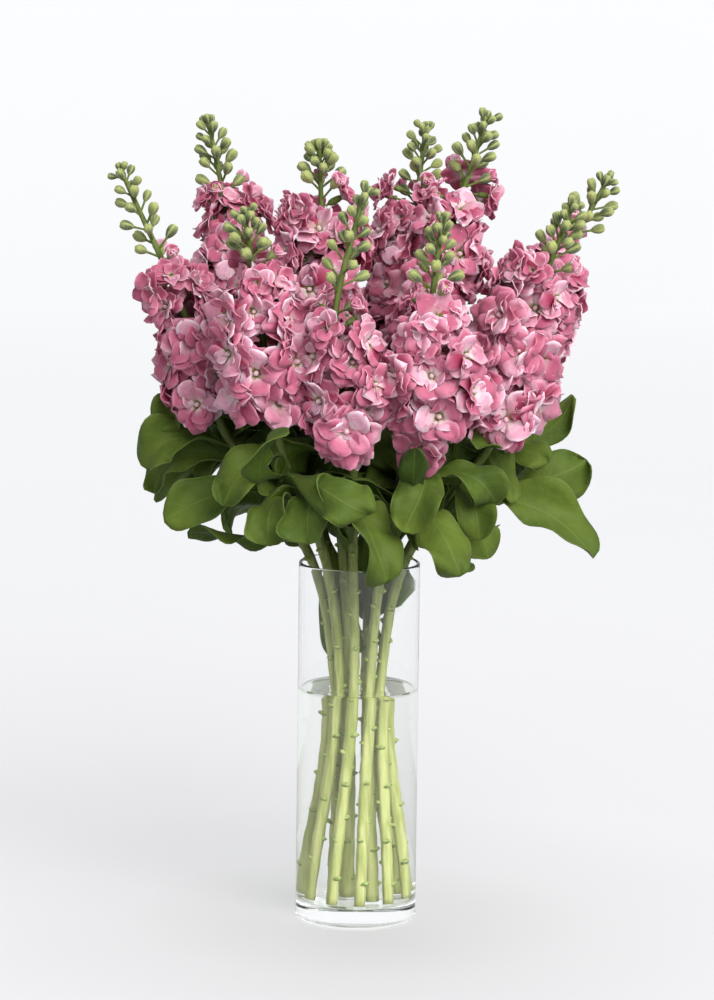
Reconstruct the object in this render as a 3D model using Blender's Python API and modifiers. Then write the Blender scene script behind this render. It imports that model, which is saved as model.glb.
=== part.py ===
"""Ten cut stems of pink double stock standing in a glass cylinder vase of water.

Metres, +Z up. The origin is the middle of the vase's underside, and -Y is the front.
Each stem is one green piece with its leaves and buds, and carries one pink flower head
that is bored to pass the stem.
"""
import math

import bmesh
import bpy
from mathutils import Matrix, Vector

PARTS = "stock flowers in vase"
MM = 0.001
FIT_GAP = 0.0003
WELD = 0.00005

# Vase, a plain glass cylinder with a heavy base
VASE_RADIUS = 0.050
VASE_HEIGHT = 0.300
VASE_WALL = 0.003
VASE_BASE = 0.016
FOOT_ROUND = 0.004
FLOOR_ROUND = 0.006
VASE_STEPS = 28

# Water
WATER_LEVEL = 0.194
WATER_SIDE_GAP = 0.0004

# Stems, as radii at the cut end, at the lowest florets and at the tip
STEM_FOOT_RADIUS = 0.0042
STEM_NECK_RADIUS = 0.0036
STEM_TIP_RADIUS = 0.0020
STEM_SIDES_LEVEL = 1
FOOT_HEIGHT = VASE_BASE + 0.0012
WAIST_HEIGHT = 0.205
RIM_HEIGHT = 0.302
NECK_HEIGHT = 0.410
HEAD_HEIGHT = 0.500
STEM_RINGS = (0.11, 0.205, 0.24, 0.27, 0.31, 0.35, 0.39, 0.43, 0.48, 0.54, 0.60)
LAST_RING_ROOM = 0.022

# Each stem in millimetres: where it stands at the vase's floor, in the waist of the
# bunch, at the rim, at the lowest florets, in the middle of the head, and its tip
STEMS = {
    "a": ((-31, 14), (-20, 0), (-40, -1), (-113, -5), (-143, -8), (-198, -10, 623)),
    "b": ((-9, 33), (-13, 15), (-27, 28), (-78, 62), (-97, 82), (-131, 100, 656)),
    "c": ((-32, -10), (-15, -13), (-27, -28), (-66, -66), (-80, -82), (-94, -92, 594)),
    "d": ((-5, 12), (-7, 6), (-14, 12), (-24, 20), (-30, 22), (-37, 26, 642)),
    "e": ((-18, -28), (-3, -20), (-5, -38), (-8, -84), (-22, -100), (1, -106, 614)),
    "f": ((23, 25), (6, 19), (12, 38), (26, 90), (35, 112), (52, 132, 652)),
    "g": ((11, -9), (8, -2), (20, 2), (42, 2), (53, 5), (100, 16, 667)),
    "h": ((3, -34), (10, -17), (19, -34), (56, -78), (53, -98), (62, -102, 590)),
    "i": ((34, -2), (19, 8), (38, 13), (108, 34), (142, 46), (203, 56, 616)),
    "j": ((24, -24), (19, -7), (37, -15), (108, -40), (132, -50), (167, -56, 600)),
}

# Flower heads: heights of the lowest and the highest florets, in millimetres, and the
# bearing of the lowest floret, in degrees from +X towards +Y
HEADS = {
    "a": (438, 550, 250),
    "b": (440, 590, 200),
    "c": (428, 538, 285),
    "d": (440, 588, 255),
    "e": (424, 522, 262),
    "f": (440, 592, 90),
    "g": (436, 600, 300),
    "h": (420, 516, 240),
    "i": (444, 558, 20),
    "j": (438, 546, 275),
}
FLORET_STEP = 0.0158
FLORET_RADIUS = 0.0295
FLORET_TOP_SCALE = 0.78
FLORET_NOD = 14
FLORET_SPIN = 75
FACE_REACH = 0.026
FACE_TAPER = 0.22
GOLDEN_ANGLE = 137.5
CORE_RADIUS = 0.0150
CORE_TOP_RADIUS = 0.009
CORE_BELOW = 0.012
CORE_ABOVE = 0.006
CORE_SIDES_LEVEL = 2

# A floret of radius 1, facing +Z: broad outer petals round a raised inner whorl
PETALS = 4
PETAL_STEPS = 3
FLORET_DEPTH = 0.62
CORNER_SPREAD = 1.85
NOTCH = 0.66
NOTCH_DROP = 0.12
PETAL_LIFT = 0.08
WHORL_INSET = 0.45
WHORL_REACH = 1.05
WHORL_GAP = 0.80
WHORL_RISE = 0.20
EYE_DEPTH = 0.10

# How florets of neighbouring heads keep to their own side
HEAD_ROOM = 0.0012
PRESS_START = 0.72
HEADS_FROM = 0.380
HEADS_PAST_TIP = 0.020

# Buds above the florets, the first value at the lowest bud and the second at the tip
BUDS = 8
BUD_RADIUS = (0.0046, 0.0044)
BUD_LENGTH = (0.0120, 0.0108)
BUD_REACH = (0.017, 0.0115)
BUD_CLIMB = (38, 60)
BUD_START = 0.012
BUD_LAST = 0.006
BUD_CROWDING = 0.7
BUD_TURN = 60

# Leaves
LEAF_THICKNESS = 0.0011
LEAF_CELLS = 5
LEAF_WAVE = 0.003
LEAF_WAVES = 7.0
LEAF_PHASE = 1.7
LEAF_FOLD = 0.12
LEAF_ENDS = (0.20, 0.42)
LEAF_FULLNESS = 1.3

# Each leaf in millimetres and degrees: its stem and the height of its root there, the
# midrib's middle and tip, the width, and the blade's roll at the middle and at the tip
LEAVES = (
    ("a", 402, (-143, 0, 424), (-166, -10, 408), 27, -35, -50),
    ("a", 392, (-152, -10, 402), (-177, -14, 376), 36, -45, -70),
    ("a", 374, (-146, 12, 384), (-170, 16, 352), 36, -60, -70),
    ("a", 354, (-122, 34, 352), (-154, 52, 320), 32, 10, 20),
    ("a", 316, (-90, -24, 324), (-140, -38, 332), 32, 30, 35),
    ("b", 372, (-126, 58, 374), (-172, 44, 344), 28, -40, -60),
    ("b", 386, (-106, 34, 378), (-138, 26, 364), 28, -20, -30),
    ("b", 392, (-102, 42, 398), (-132, 40, 388), 32, -55, -60),
    ("b", 394, (-108, 88, 408), (-134, 108, 388), 32, 20, 30),
    ("b", 360, (-80, 92, 366), (-92, 126, 334), 36, 0, 0),
    ("b", 335, (-84, 62, 338), (-120, 78, 318), 32, -10, -20),
    ("c", 368, (-104, -46, 364), (-158, -58, 346), 36, -45, -55),
    ("c", 380, (-80, -110, 390), (-62, -124, 430), 26, 60, 80),
    ("c", 394, (-88, -80, 392), (-110, -94, 360), 36, -40, -50),
    ("c", 356, (-68, -80, 360), (-76, -98, 328), 36, 0, 0),
    ("c", 382, (-28, -126, 377), (10, -134, 354), 38, 55, 60),
    ("d", 388, (-62, 22, 398), (-96, 16, 382), 34, -50, -60),
    ("d", 350, (-36, 80, 352), (-44, 122, 322), 34, 10, 10),
    ("e", 372, (-34, -100, 374), (-44, -116, 332), 42, 15, 20),
    ("e", 356, (4, -106, 348), (26, -128, 306), 48, -5, -10),
    ("f", 394, (2, 126, 404), (-12, 150, 380), 34, 10, 20),
    ("f", 376, (44, 118, 384), (58, 150, 352), 36, -15, -20),
    ("f", 346, (14, 104, 346), (10, 134, 310), 38, 0, 0),
    ("g", 382, (86, 0, 378), (126, -4, 358), 32, 50, 60),
    ("h", 386, (50, -104, 378), (34, -122, 344), 40, -10, -20),
    ("h", 372, (42, -114, 382), (43, -126, 412), 24, 0, 0),
    ("h", 354, (62, -98, 344), (80, -116, 308), 44, 15, 20),
    ("h", 378, (84, -88, 386), (112, -88, 360), 34, 40, 60),
    ("i", 366, (144, 28, 364), (187, 34, 384), 42, 65, 70),
    ("i", 392, (150, 38, 402), (172, 36, 434), 26, 60, 60),
    ("i", 388, (128, 10, 394), (154, 4, 383), 30, 50, 60),
    ("i", 376, (112, 70, 384), (128, 100, 356), 34, -20, -30),
    ("i", 344, (92, 62, 346), (108, 92, 312), 36, 0, 10),
    ("i", 300, (41, 2, 288), (41, -3, 264), 13, 85, 90),
    ("j", 372, (90, -66, 364), (96, -84, 332), 32, 10, 10),
    ("j", 346, (92, -50, 336), (106, -62, 314), 30, 20, 20),
    ("j", 354, (140, -32, 352), (190, -44, 312), 44, 45, 50),
    ("j", 330, (74, -24, 299), (93, -20, 303), 9, 20, 40),
)


def clear_scene():
    for item in list(bpy.data.objects):
        bpy.data.objects.remove(item, do_unlink=True)


def material(name, colour, roughness, transmission=0.0):
    made = bpy.data.materials.new(name)
    made.use_nodes = True
    shader = made.node_tree.nodes["Principled BSDF"]
    shader.inputs["Base Color"].default_value = (*colour, 1.0)
    shader.inputs["Roughness"].default_value = roughness
    shader.inputs["Metallic"].default_value = 0.0
    shader.inputs["Transmission Weight"].default_value = transmission
    made.diffuse_color = (*colour, 1.0)
    return made


def new_pile(name):
    """A collection of its own for pieces that are about to be joined or cut."""
    pile = bpy.data.collections.new(name)
    bpy.context.scene.collection.children.link(pile)
    return pile


def new_object(name, mesh, group):
    made = bpy.data.objects.new(name, mesh)
    group.objects.link(made)
    return made


def mesh_of(made):
    """The mesh that an object evaluates to, with its modifiers applied."""
    graph = bpy.context.evaluated_depsgraph_get()
    return bpy.data.meshes.new_from_object(made.evaluated_get(graph), depsgraph=graph)


def mesh_from(bm, name):
    mesh = bpy.data.meshes.new(name)
    bm.to_mesh(mesh)
    bm.free()
    return mesh


def apply_modifiers(made):
    made.data = mesh_of(made)
    made.modifiers.clear()


def combine(target, pile, operation):
    """Join to the target, or cut from it, every object of the pile, which then goes."""
    step = target.modifiers.new(operation.lower(), "BOOLEAN")
    step.operation = operation
    step.operand_type = "COLLECTION"
    step.collection = pile
    step.solver = "MANIFOLD"
    apply_modifiers(target)
    for item in list(pile.objects):
        bpy.data.objects.remove(item, do_unlink=True)


def remove_piles(kept):
    for pile in list(bpy.data.collections):
        if pile is not kept:
            bpy.data.collections.remove(pile)


def between(ends, t):
    return ends[0] + (ends[1] - ends[0]) * t


def bearing_vector(degrees):
    return Vector((math.cos(math.radians(degrees)), math.sin(math.radians(degrees)), 0))


def facing(point, outwards, spin):
    """A placement at the point with +Z along outwards, turned by spin about it."""
    turn = outwards.to_track_quat("Z", "Y").to_matrix().to_4x4()
    return Matrix.Translation(point) @ turn @ Matrix.Rotation(spin, 4, "Z")


def eased(heights, values, height):
    """The value at this height on the smooth curve through the values at the heights."""
    last = len(heights) - 1
    spans = [heights[i + 1] - heights[i] for i in range(last)]
    slopes = [(values[i + 1] - values[i]) / spans[i] for i in range(last)]
    turns = [slopes[0]]
    for i in range(1, last):
        weighed = slopes[i - 1] * spans[i] + slopes[i] * spans[i - 1]
        turns.append(weighed / (spans[i - 1] + spans[i]))
    turns.append(slopes[-1])
    i = max(j for j in range(last) if j == 0 or heights[j] <= height)
    t = (height - heights[i]) / spans[i]
    rise = 3 * t**2 - 2 * t**3
    return (
        values[i] * (1 - rise)
        + values[i + 1] * rise
        + spans[i] * turns[i] * (t**3 - 2 * t**2 + t)
        + spans[i] * turns[i + 1] * (t**3 - t**2)
    )


def stem_tip(stem):
    return STEMS[stem][-1][2] * MM


def on_stem(stem, height):
    """The stem's middle line at this height."""
    knots = STEMS[stem]
    heights = (
        FOOT_HEIGHT, WAIST_HEIGHT, RIM_HEIGHT, NECK_HEIGHT, HEAD_HEIGHT, stem_tip(stem)
    )
    x = eased(heights, [knot[0] * MM for knot in knots], height)
    y = eased(heights, [knot[1] * MM for knot in knots], height)
    return Vector((x, y, height))


def stem_direction(stem, height):
    ahead = on_stem(stem, height + MM)
    behind = on_stem(stem, height - MM)
    return (ahead - behind).normalized()


def stem_radius(stem, height):
    if height < NECK_HEIGHT:
        t = (height - FOOT_HEIGHT) / (NECK_HEIGHT - FOOT_HEIGHT)
        return between((STEM_FOOT_RADIUS, STEM_NECK_RADIUS), t)
    t = (height - NECK_HEIGHT) / (stem_tip(stem) - NECK_HEIGHT)
    return between((STEM_NECK_RADIUS, STEM_TIP_RADIUS), t)


def tube(name, points, radii, sides_level, group):
    """A round tube along these points, as a mesh with welded caps."""
    curve = bpy.data.curves.new(name, "CURVE")
    curve.dimensions = "3D"
    curve.bevel_depth = 1.0
    curve.bevel_resolution = sides_level
    curve.use_fill_caps = True
    line = curve.splines.new("POLY")
    line.points.add(len(points) - 1)
    for knot, point, radius in zip(line.points, points, radii):
        knot.co = (*point, 1.0)
        knot.radius = radius
    drawn = new_object(name + "_line", curve, group)
    bm = bmesh.new()
    bm.from_mesh(mesh_of(drawn))
    bmesh.ops.remove_doubles(bm, verts=bm.verts, dist=WELD)
    made = new_object(name, mesh_from(bm, name), group)
    made.matrix_world = drawn.matrix_world
    bpy.data.objects.remove(drawn, do_unlink=True)
    return made


def stem_tube(name, stem, growth, group, below=0.0):
    """The stem's own tube, its surface moved outwards by growth and its foot lower."""
    tip = stem_tip(stem)
    rings = [height for height in STEM_RINGS if height < tip - LAST_RING_ROOM]
    heights = [FOOT_HEIGHT, *rings, tip]
    points = [on_stem(stem, height) for height in heights]
    radii = [stem_radius(stem, height) + growth for height in heights]
    points[0] += (points[0] - points[1]).normalized() * below
    return tube(name, points, radii, STEM_SIDES_LEVEL, group)


def pressed(reach, limit):
    """A reach eased back so that it never passes the limit."""
    free = PRESS_START * limit
    if reach <= free:
        return reach
    room = limit - free
    return free + room * (1 - math.exp(-(reach - free) / room))


def own_side(stem, point):
    """The point, eased back to the stem's own side of each neighbouring head."""
    height = min(max(point.z, HEADS_FROM), stem_tip(stem))
    own = on_stem(stem, height).xy
    for other in STEMS:
        if other == stem or height > stem_tip(other) + HEADS_PAST_TIP:
            continue
        towards = on_stem(other, min(height, stem_tip(other))).xy - own
        limit = towards.length / 2 - HEAD_ROOM
        towards.normalize()
        reach = (point.xy - own).dot(towards)
        point = point + (towards * (pressed(reach, limit) - reach)).to_3d()
    return point


def floret_mesh():
    """A double floret of radius 1: a shallow cone whose rim is drawn out into petals.

    Its face is inset once for the inner whorl, whose points stand between the outer
    petals, and poked for the eye.
    """
    around = PETALS * PETAL_STEPS
    bm = bmesh.new()
    bmesh.ops.create_cone(
        bm, cap_ends=True, segments=around, radius1=0.0, radius2=1.0, depth=FLORET_DEPTH
    )
    face = max(bm.faces, key=lambda item: item.calc_center_median().z)
    rim = list(face.verts)
    bmesh.ops.inset_individual(
        bm, faces=[face], thickness=WHORL_INSET, use_even_offset=False
    )
    whorl = list(face.verts)
    poked = bmesh.ops.poke(bm, faces=[face])
    bmesh.ops.translate(bm, verts=bm.verts, vec=(0, 0, -FLORET_DEPTH / 2))
    poked["verts"][0].co.z = -EYE_DEPTH
    petal_turn = math.tau / PETALS
    for vert in rim + whorl:
        turn = math.atan2(vert.co.y, vert.co.x) % math.tau
        petal, part = divmod(round(turn / math.tau * around) % around, PETAL_STEPS)
        if vert in whorl:
            vert.co.xy *= WHORL_REACH if part == 0 else WHORL_GAP
            vert.co.z += WHORL_RISE if part == 0 else 0.0
        elif part == 0:
            vert.co.xy *= NOTCH
            vert.co.z -= NOTCH_DROP
        else:
            spread = (part / PETAL_STEPS - 0.5) * CORNER_SPREAD
            corner = petal_turn * (petal + 0.5 + spread)
            vert.co.x = math.cos(corner)
            vert.co.y = math.sin(corner)
            vert.co.z += PETAL_LIFT * math.sin(2 * petal + part)
    return mesh_from(bm, "floret")


def add_floret(stem, number, t, floret, pile):
    """One floret of a head, t of the way up it, kept to the stem's own side."""
    low, high, first = HEADS[stem]
    height = between((low, high), t) * MM
    along = stem_direction(stem, height)
    side = bearing_vector(first + GOLDEN_ANGLE * number)
    side = (side - along * side.dot(along)).normalized()
    nod = math.radians(FLORET_NOD)
    outwards = side * math.cos(nod) + along * math.sin(nod)
    middle = on_stem(stem, height) + side * FACE_REACH * (1 - FACE_TAPER * t)
    size = FLORET_RADIUS * between((1, FLORET_TOP_SCALE), t**1.5)
    place = facing(middle, outwards, math.radians(FLORET_SPIN * number))
    bm = bmesh.new()
    bm.from_mesh(floret)
    bmesh.ops.transform(bm, matrix=place @ Matrix.Scale(size, 4), verts=bm.verts)
    for vert in bm.verts:
        vert.co = own_side(stem, vert.co)
    new_object("floret", mesh_from(bm, "floret"), pile)


def flower_head(stem, floret, group, finish):
    """The pink head of one stem: florets round a core, with the stem's bore through."""
    low, high = (height * MM for height in HEADS[stem][:2])
    heights = [
        low - CORE_BELOW, between((low, high), 1 / 3), between((low, high), 2 / 3),
        high + CORE_ABOVE,
    ]
    radii = [CORE_RADIUS, CORE_RADIUS, CORE_RADIUS, CORE_TOP_RADIUS]
    points = [on_stem(stem, height) for height in heights]
    head = tube("blooms_" + stem, points, radii, CORE_SIDES_LEVEL, group)
    pile = new_pile("florets")
    last = round((high - low) / FLORET_STEP)
    for number in range(last + 1):
        add_floret(stem, number, number / last, floret, pile)
    combine(head, pile, "UNION")
    stem_tube("bore", stem, FIT_GAP, pile)
    combine(head, pile, "DIFFERENCE")
    head.data.materials.append(finish)


def add_bud(stem, number, pile):
    """One bud on its stalk: a drop drawn in to the stem at its root."""
    t = number / (BUDS - 1)
    start = HEADS[stem][1] * MM + BUD_START
    height = between((start, stem_tip(stem) - BUD_LAST), t**BUD_CROWDING)
    along = stem_direction(stem, height)
    side = bearing_vector(HEADS[stem][2] + BUD_TURN + GOLDEN_ANGLE * number)
    side = (side - along * side.dot(along)).normalized()
    climb = math.radians(between(BUD_CLIMB, t))
    outwards = side * math.cos(climb) + along * math.sin(climb)
    radius, length, reach = (between(ends, t) for ends in (BUD_RADIUS, BUD_LENGTH, BUD_REACH))
    bm = bmesh.new()
    bmesh.ops.create_uvsphere(bm, u_segments=5, v_segments=3, radius=1.0)
    root = min(bm.verts, key=lambda vert: vert.co.z)
    bmesh.ops.scale(bm, vec=(radius, radius, length / 2), verts=bm.verts)
    root.co.z = -reach
    place = facing(on_stem(stem, height) + outwards * reach, outwards, number)
    bmesh.ops.transform(bm, matrix=place, verts=bm.verts)
    new_object("bud", mesh_from(bm, "bud"), pile)


def midrib(root, middle, tip, t):
    """A point and its direction on the curve from root to tip through the middle."""
    pull = 2 * middle - (root + tip) / 2
    point = root * (1 - t) ** 2 + pull * 2 * t * (1 - t) + tip * t**2
    direction = (pull - root) * (1 - t) + (tip - pull) * t
    return point, direction.normalized()


def leaf_width(t):
    """The leaf's width over its greatest, from the root (0) to the tip (1)."""
    end = between(LEAF_ENDS, t)
    return end + (1 - end) * math.sin(math.pi * t**LEAF_FULLNESS)


def blade_roll(roll, tip_roll, t):
    if t < 0.5:
        return math.radians(roll * 2 * t)
    return math.radians(between((roll, tip_roll), 2 * t - 1))


def add_leaf(number, leaf, pile):
    """One leaf: a grid bent along its midrib, waved at its edges and given thickness."""
    stem, height, middle, tip, width, roll, tip_roll = leaf
    root = on_stem(stem, height * MM)
    middle, tip = Vector(middle) * MM, Vector(tip) * MM
    heading = (tip - root).to_2d().normalized()
    level = Vector((heading.y, -heading.x, 0))
    bm = bmesh.new()
    bmesh.ops.create_grid(bm, x_segments=LEAF_CELLS, y_segments=2, size=0.5)
    for vert in bm.verts:
        t = vert.co.x + 0.5
        across = vert.co.y * 2
        point, direction = midrib(root, middle, tip, t)
        side = (level - direction * level.dot(direction)).normalized()
        side = Matrix.Rotation(blade_roll(roll, tip_roll, t), 3, direction) @ side
        half = width * MM / 2 * leaf_width(t)
        wave = math.sin(LEAF_WAVES * t + LEAF_PHASE * number + 2 * across)
        lift = (LEAF_FOLD * half + LEAF_WAVE * wave * t) * abs(across)
        vert.co = point + side * across * half + side.cross(direction) * lift
    bmesh.ops.triangulate(bm, faces=bm.faces)
    blade = new_object("leaf", mesh_from(bm, "leaf"), pile)
    wall = blade.modifiers.new("thickness", "SOLIDIFY")
    wall.thickness = LEAF_THICKNESS
    wall.offset = 0
    apply_modifiers(blade)


def leafy_stem(stem, group, finish):
    """One stem with its leaves and green buds, grown as one piece."""
    made = stem_tube("stem_" + stem, stem, 0.0, group)
    pile = new_pile("growth")
    for number in range(BUDS):
        add_bud(stem, number, pile)
    for number, leaf in enumerate(LEAVES):
        if leaf[0] == stem:
            add_leaf(number, leaf, pile)
    combine(made, pile, "UNION")
    made.data.materials.append(finish)


def arc(middle, radius, start, end, steps):
    """Points of an arc in the X-Z plane, from start to end in degrees."""
    points = []
    for i in range(steps + 1):
        turn = math.radians(between((start, end), i / steps))
        points.append(
            (middle[0] + radius * math.cos(turn), middle[1] + radius * math.sin(turn))
        )
    return points


def turned(name, outline, group, finish):
    """A body turned about Z from its outline, which runs down its outer side."""
    bm = bmesh.new()
    verts = [bm.verts.new((x, 0, z)) for x, z in outline]
    for upper, lower in zip(verts, verts[1:]):
        bm.edges.new((upper, lower))
    made = new_object(name, mesh_from(bm, name), group)
    made.data.materials.append(finish)
    screw = made.modifiers.new("turn", "SCREW")
    screw.steps = VASE_STEPS
    screw.render_steps = VASE_STEPS
    screw.use_merge_vertices = True
    screw.merge_threshold = 0.00001
    return made


def glass_vase(group, finish):
    lip = VASE_WALL / 2
    inside = VASE_RADIUS - VASE_WALL
    outline = [
        (0, VASE_BASE),
        *arc((inside - FLOOR_ROUND, VASE_BASE + FLOOR_ROUND), FLOOR_ROUND, -90, 0, 2),
        *arc((VASE_RADIUS - lip, VASE_HEIGHT - lip), lip, 180, 0, 3),
        *arc((VASE_RADIUS - FOOT_ROUND, FOOT_ROUND), FOOT_ROUND, 0, -90, 2),
        (0, 0),
    ]
    turned("vase", outline, group, finish)


def water(group, finish):
    """The water in the vase, with a plain hole round each stem."""
    radius = VASE_RADIUS - VASE_WALL - WATER_SIDE_GAP
    floor = VASE_BASE + FIT_GAP
    outline = [
        (0, WATER_LEVEL),
        (radius, WATER_LEVEL),
        *arc((radius - FLOOR_ROUND, floor + FLOOR_ROUND), FLOOR_ROUND, 0, -90, 2),
        (0, floor),
    ]
    made = turned("water", outline, group, finish)
    apply_modifiers(made)
    pile = new_pile("stem_holes")
    for stem in STEMS:
        stem_tube("hole", stem, FIT_GAP, pile, STEM_FOOT_RADIUS)
    combine(made, pile, "DIFFERENCE")


def main():
    clear_scene()
    group = bpy.data.collections.new(PARTS)
    bpy.context.scene.collection.children.link(group)
    clear_glass = material("clear_glass", (0.94, 0.97, 0.96), 0.02, 1.0)
    clear_water = material("water", (0.95, 0.98, 0.95), 0.02, 1.0)
    leaf_green = material("leaf_green", (0.13, 0.24, 0.06), 0.55)
    petal_pink = material("petal_pink", (0.72, 0.18, 0.36), 0.6)
    glass_vase(group, clear_glass)
    water(group, clear_water)
    floret = floret_mesh()
    for stem in STEMS:
        leafy_stem(stem, group, leaf_green)
        flower_head(stem, floret, group, petal_pink)
    remove_piles(group)


main()
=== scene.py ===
"""Looks of ten cut stems of pink double stock that stand in a glass cylinder of water.

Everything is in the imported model's own frame: metres, +Z up, and -Y is the front.
"""

import math
import random

import bmesh
import bpy
import numpy as np
from bpy.props import FloatProperty, FloatVectorProperty, IntProperty, PointerProperty
from mathutils import Matrix, Vector


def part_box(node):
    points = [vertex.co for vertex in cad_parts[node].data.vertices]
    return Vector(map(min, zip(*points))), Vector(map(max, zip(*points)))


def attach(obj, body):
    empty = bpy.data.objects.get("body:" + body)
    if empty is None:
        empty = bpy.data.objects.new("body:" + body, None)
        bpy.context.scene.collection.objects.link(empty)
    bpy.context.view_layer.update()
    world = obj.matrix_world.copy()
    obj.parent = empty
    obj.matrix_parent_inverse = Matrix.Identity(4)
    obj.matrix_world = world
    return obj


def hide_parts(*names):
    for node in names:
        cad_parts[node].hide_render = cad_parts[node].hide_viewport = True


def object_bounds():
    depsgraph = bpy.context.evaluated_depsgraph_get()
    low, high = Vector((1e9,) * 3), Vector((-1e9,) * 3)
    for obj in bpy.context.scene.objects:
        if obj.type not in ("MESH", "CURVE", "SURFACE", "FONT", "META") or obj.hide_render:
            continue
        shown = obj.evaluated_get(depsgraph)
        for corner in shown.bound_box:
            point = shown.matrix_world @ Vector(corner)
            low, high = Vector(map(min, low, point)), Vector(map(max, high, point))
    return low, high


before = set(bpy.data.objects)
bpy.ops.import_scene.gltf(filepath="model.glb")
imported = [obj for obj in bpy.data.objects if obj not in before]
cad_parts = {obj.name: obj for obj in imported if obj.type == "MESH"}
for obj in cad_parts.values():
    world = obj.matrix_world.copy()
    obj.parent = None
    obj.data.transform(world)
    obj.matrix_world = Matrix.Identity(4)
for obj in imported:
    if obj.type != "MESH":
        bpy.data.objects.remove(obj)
CAD_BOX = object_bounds()
VASE_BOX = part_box("vase")
WATER_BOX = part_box("water")

bl_info = {
    "name": "Stock Flowers in a Vase",
    "version": (1, 0, 0),
    "blender": (4, 5, 0),
    "location": "3D View > Sidebar > Stock Flowers",
    "description": "Pink double stock, its leaves and buds, a glass vase and its water",
    "category": "Add Mesh",
}

MM = 0.001
GOLDEN_ANGLE = 137.5

# How much glass, water and bubbles bend light, and the number of bounces after which a
# ray goes straight through them
GLASS_IOR = 1.42
WATER_IOR = 1.333
BUBBLE_IOR = 1.12
LAST_BEND = 6.5

# The strength of the stage's glow on what it lights, where the camera sees it as 1, the
# strength at which the sky is seen, and how far both are dimmed where they are mirrored
SPILL = 0.22
SKY_SEEN = 0.90
MIRRORED = 0.6

# Steps round the glass and round the stage, the radius between the glass floor and wall,
# how far out the stage's glow goes on changing, and how far the stage lies below the vase
ROUND_STEPS = 112
STAGE_STEPS = 96
FLOOR_ROUND = 0.006
STAGE_REACH = 7.0
STAGE_DROP = 0.0003

# Ridges round each stem and their depth as a share of its radius, how high up it leaves
# were stripped, and the lowest height at which a floret's stalk starts
RIDGES = 6
RIDGE_DEPTH = 0.045
SCARS_TOP = 0.335
STALKS_FROM = 0.40

# The height over which a stem's green changes, how fast side veins follow each other
# along a leaf, in radians, how far they sweep forwards, and the gloss of soft surfaces
GREEN_SPAN = 0.60
VEIN_PACE = 52.0
VEIN_SWEEP = 0.42
SOFT_GLOSS = 0.22

# How far out from the stem the florets stand, at the bottom and the top of a head, how
# close to each other they may be, how far placed ones look up, in degrees, and how far up
# a head the younger ones start
FLORET_REACH = (0.0335, 0.0255)
FLORET_APART = 0.0135
PLACED_NOD = 8
YOUNG_FROM = 0.90

# What a bud is scaled to across, low and high in its cluster, and along, and what a floret
# that hasn't opened and the bud at the stem's tip are scaled to
BUD_WIDTHS = (0.0102, 0.0112)
BUD_LENGTH = 0.0128
CLOSED_SIZE = 0.0138
CROWN_SIZE = 0.0075

# How far a head may reach past the middle between two stems, the lowest height at which
# that middle is taken, how far above a stem's tip it still counts, and the room left
# inside the model's box
HEADS_OVERLAP = 0.045
HEADS_FOOT = 0.380
TIP_CLEAR = 0.020
BOX_ROOM = 0.0008

# The camera stands in front and looks slightly down
CAMERA_PLACE = (0.0, -3.0, 0.802)
CAMERA_TILT = 8.55
CAMERA_ROLL = 0.66
CAMERA_YAW = 0.05
CAMERA_LENS = 132.9
CAMERA_SENSOR = 36.0

# Heights at which each stem's route is given, below its tip
FOOT_HEIGHT = 0.0172
WAIST_HEIGHT = 0.205
RIM_HEIGHT = 0.302
NECK_HEIGHT = 0.410
HEAD_HEIGHT = 0.500

# Each stem in millimetres: where it stands at the vase's floor, in the waist of the
# bunch, at the rim, at the lowest florets, in the middle of the head, and its tip
STEMS = {
    "a": ((-31, 14), (-20, 0), (-40, -1), (-113, -5), (-143, -8), (-198, -10, 623)),
    "b": ((-9, 33), (-13, 15), (-27, 28), (-78, 62), (-97, 82), (-131, 100, 656)),
    "c": ((-32, -10), (-15, -13), (-27, -28), (-66, -66), (-80, -82), (-94, -92, 594)),
    "d": ((-5, 12), (-7, 6), (-14, 12), (-24, 20), (-30, 22), (-37, 26, 642)),
    "e": ((-18, -28), (-3, -20), (-5, -38), (-8, -84), (-22, -100), (1, -106, 614)),
    "f": ((23, 25), (6, 19), (12, 38), (26, 90), (35, 112), (52, 132, 652)),
    "g": ((11, -9), (8, -2), (20, 2), (42, 2), (53, 5), (100, 16, 667)),
    "h": ((3, -34), (10, -17), (19, -34), (56, -78), (53, -98), (62, -102, 590)),
    "i": ((34, -2), (19, 8), (38, 13), (108, 34), (142, 46), (203, 56, 616)),
    "j": ((24, -24), (19, -7), (37, -15), (108, -40), (132, -50), (167, -56, 600)),
}

# Flower heads: heights of the lowest and the highest florets, in millimetres, and the
# bearing of the lowest floret, in degrees from +X towards +Y
HEADS = {
    "a": (438, 528, 250),
    "b": (426, 580, 200),
    "c": (444, 538, 285),
    "d": (440, 588, 255),
    "e": (424, 506, 262),
    "f": (440, 578, 90),
    "g": (436, 600, 300),
    "h": (420, 516, 240),
    "i": (444, 552, 20),
    "j": (438, 536, 275),
}

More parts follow.
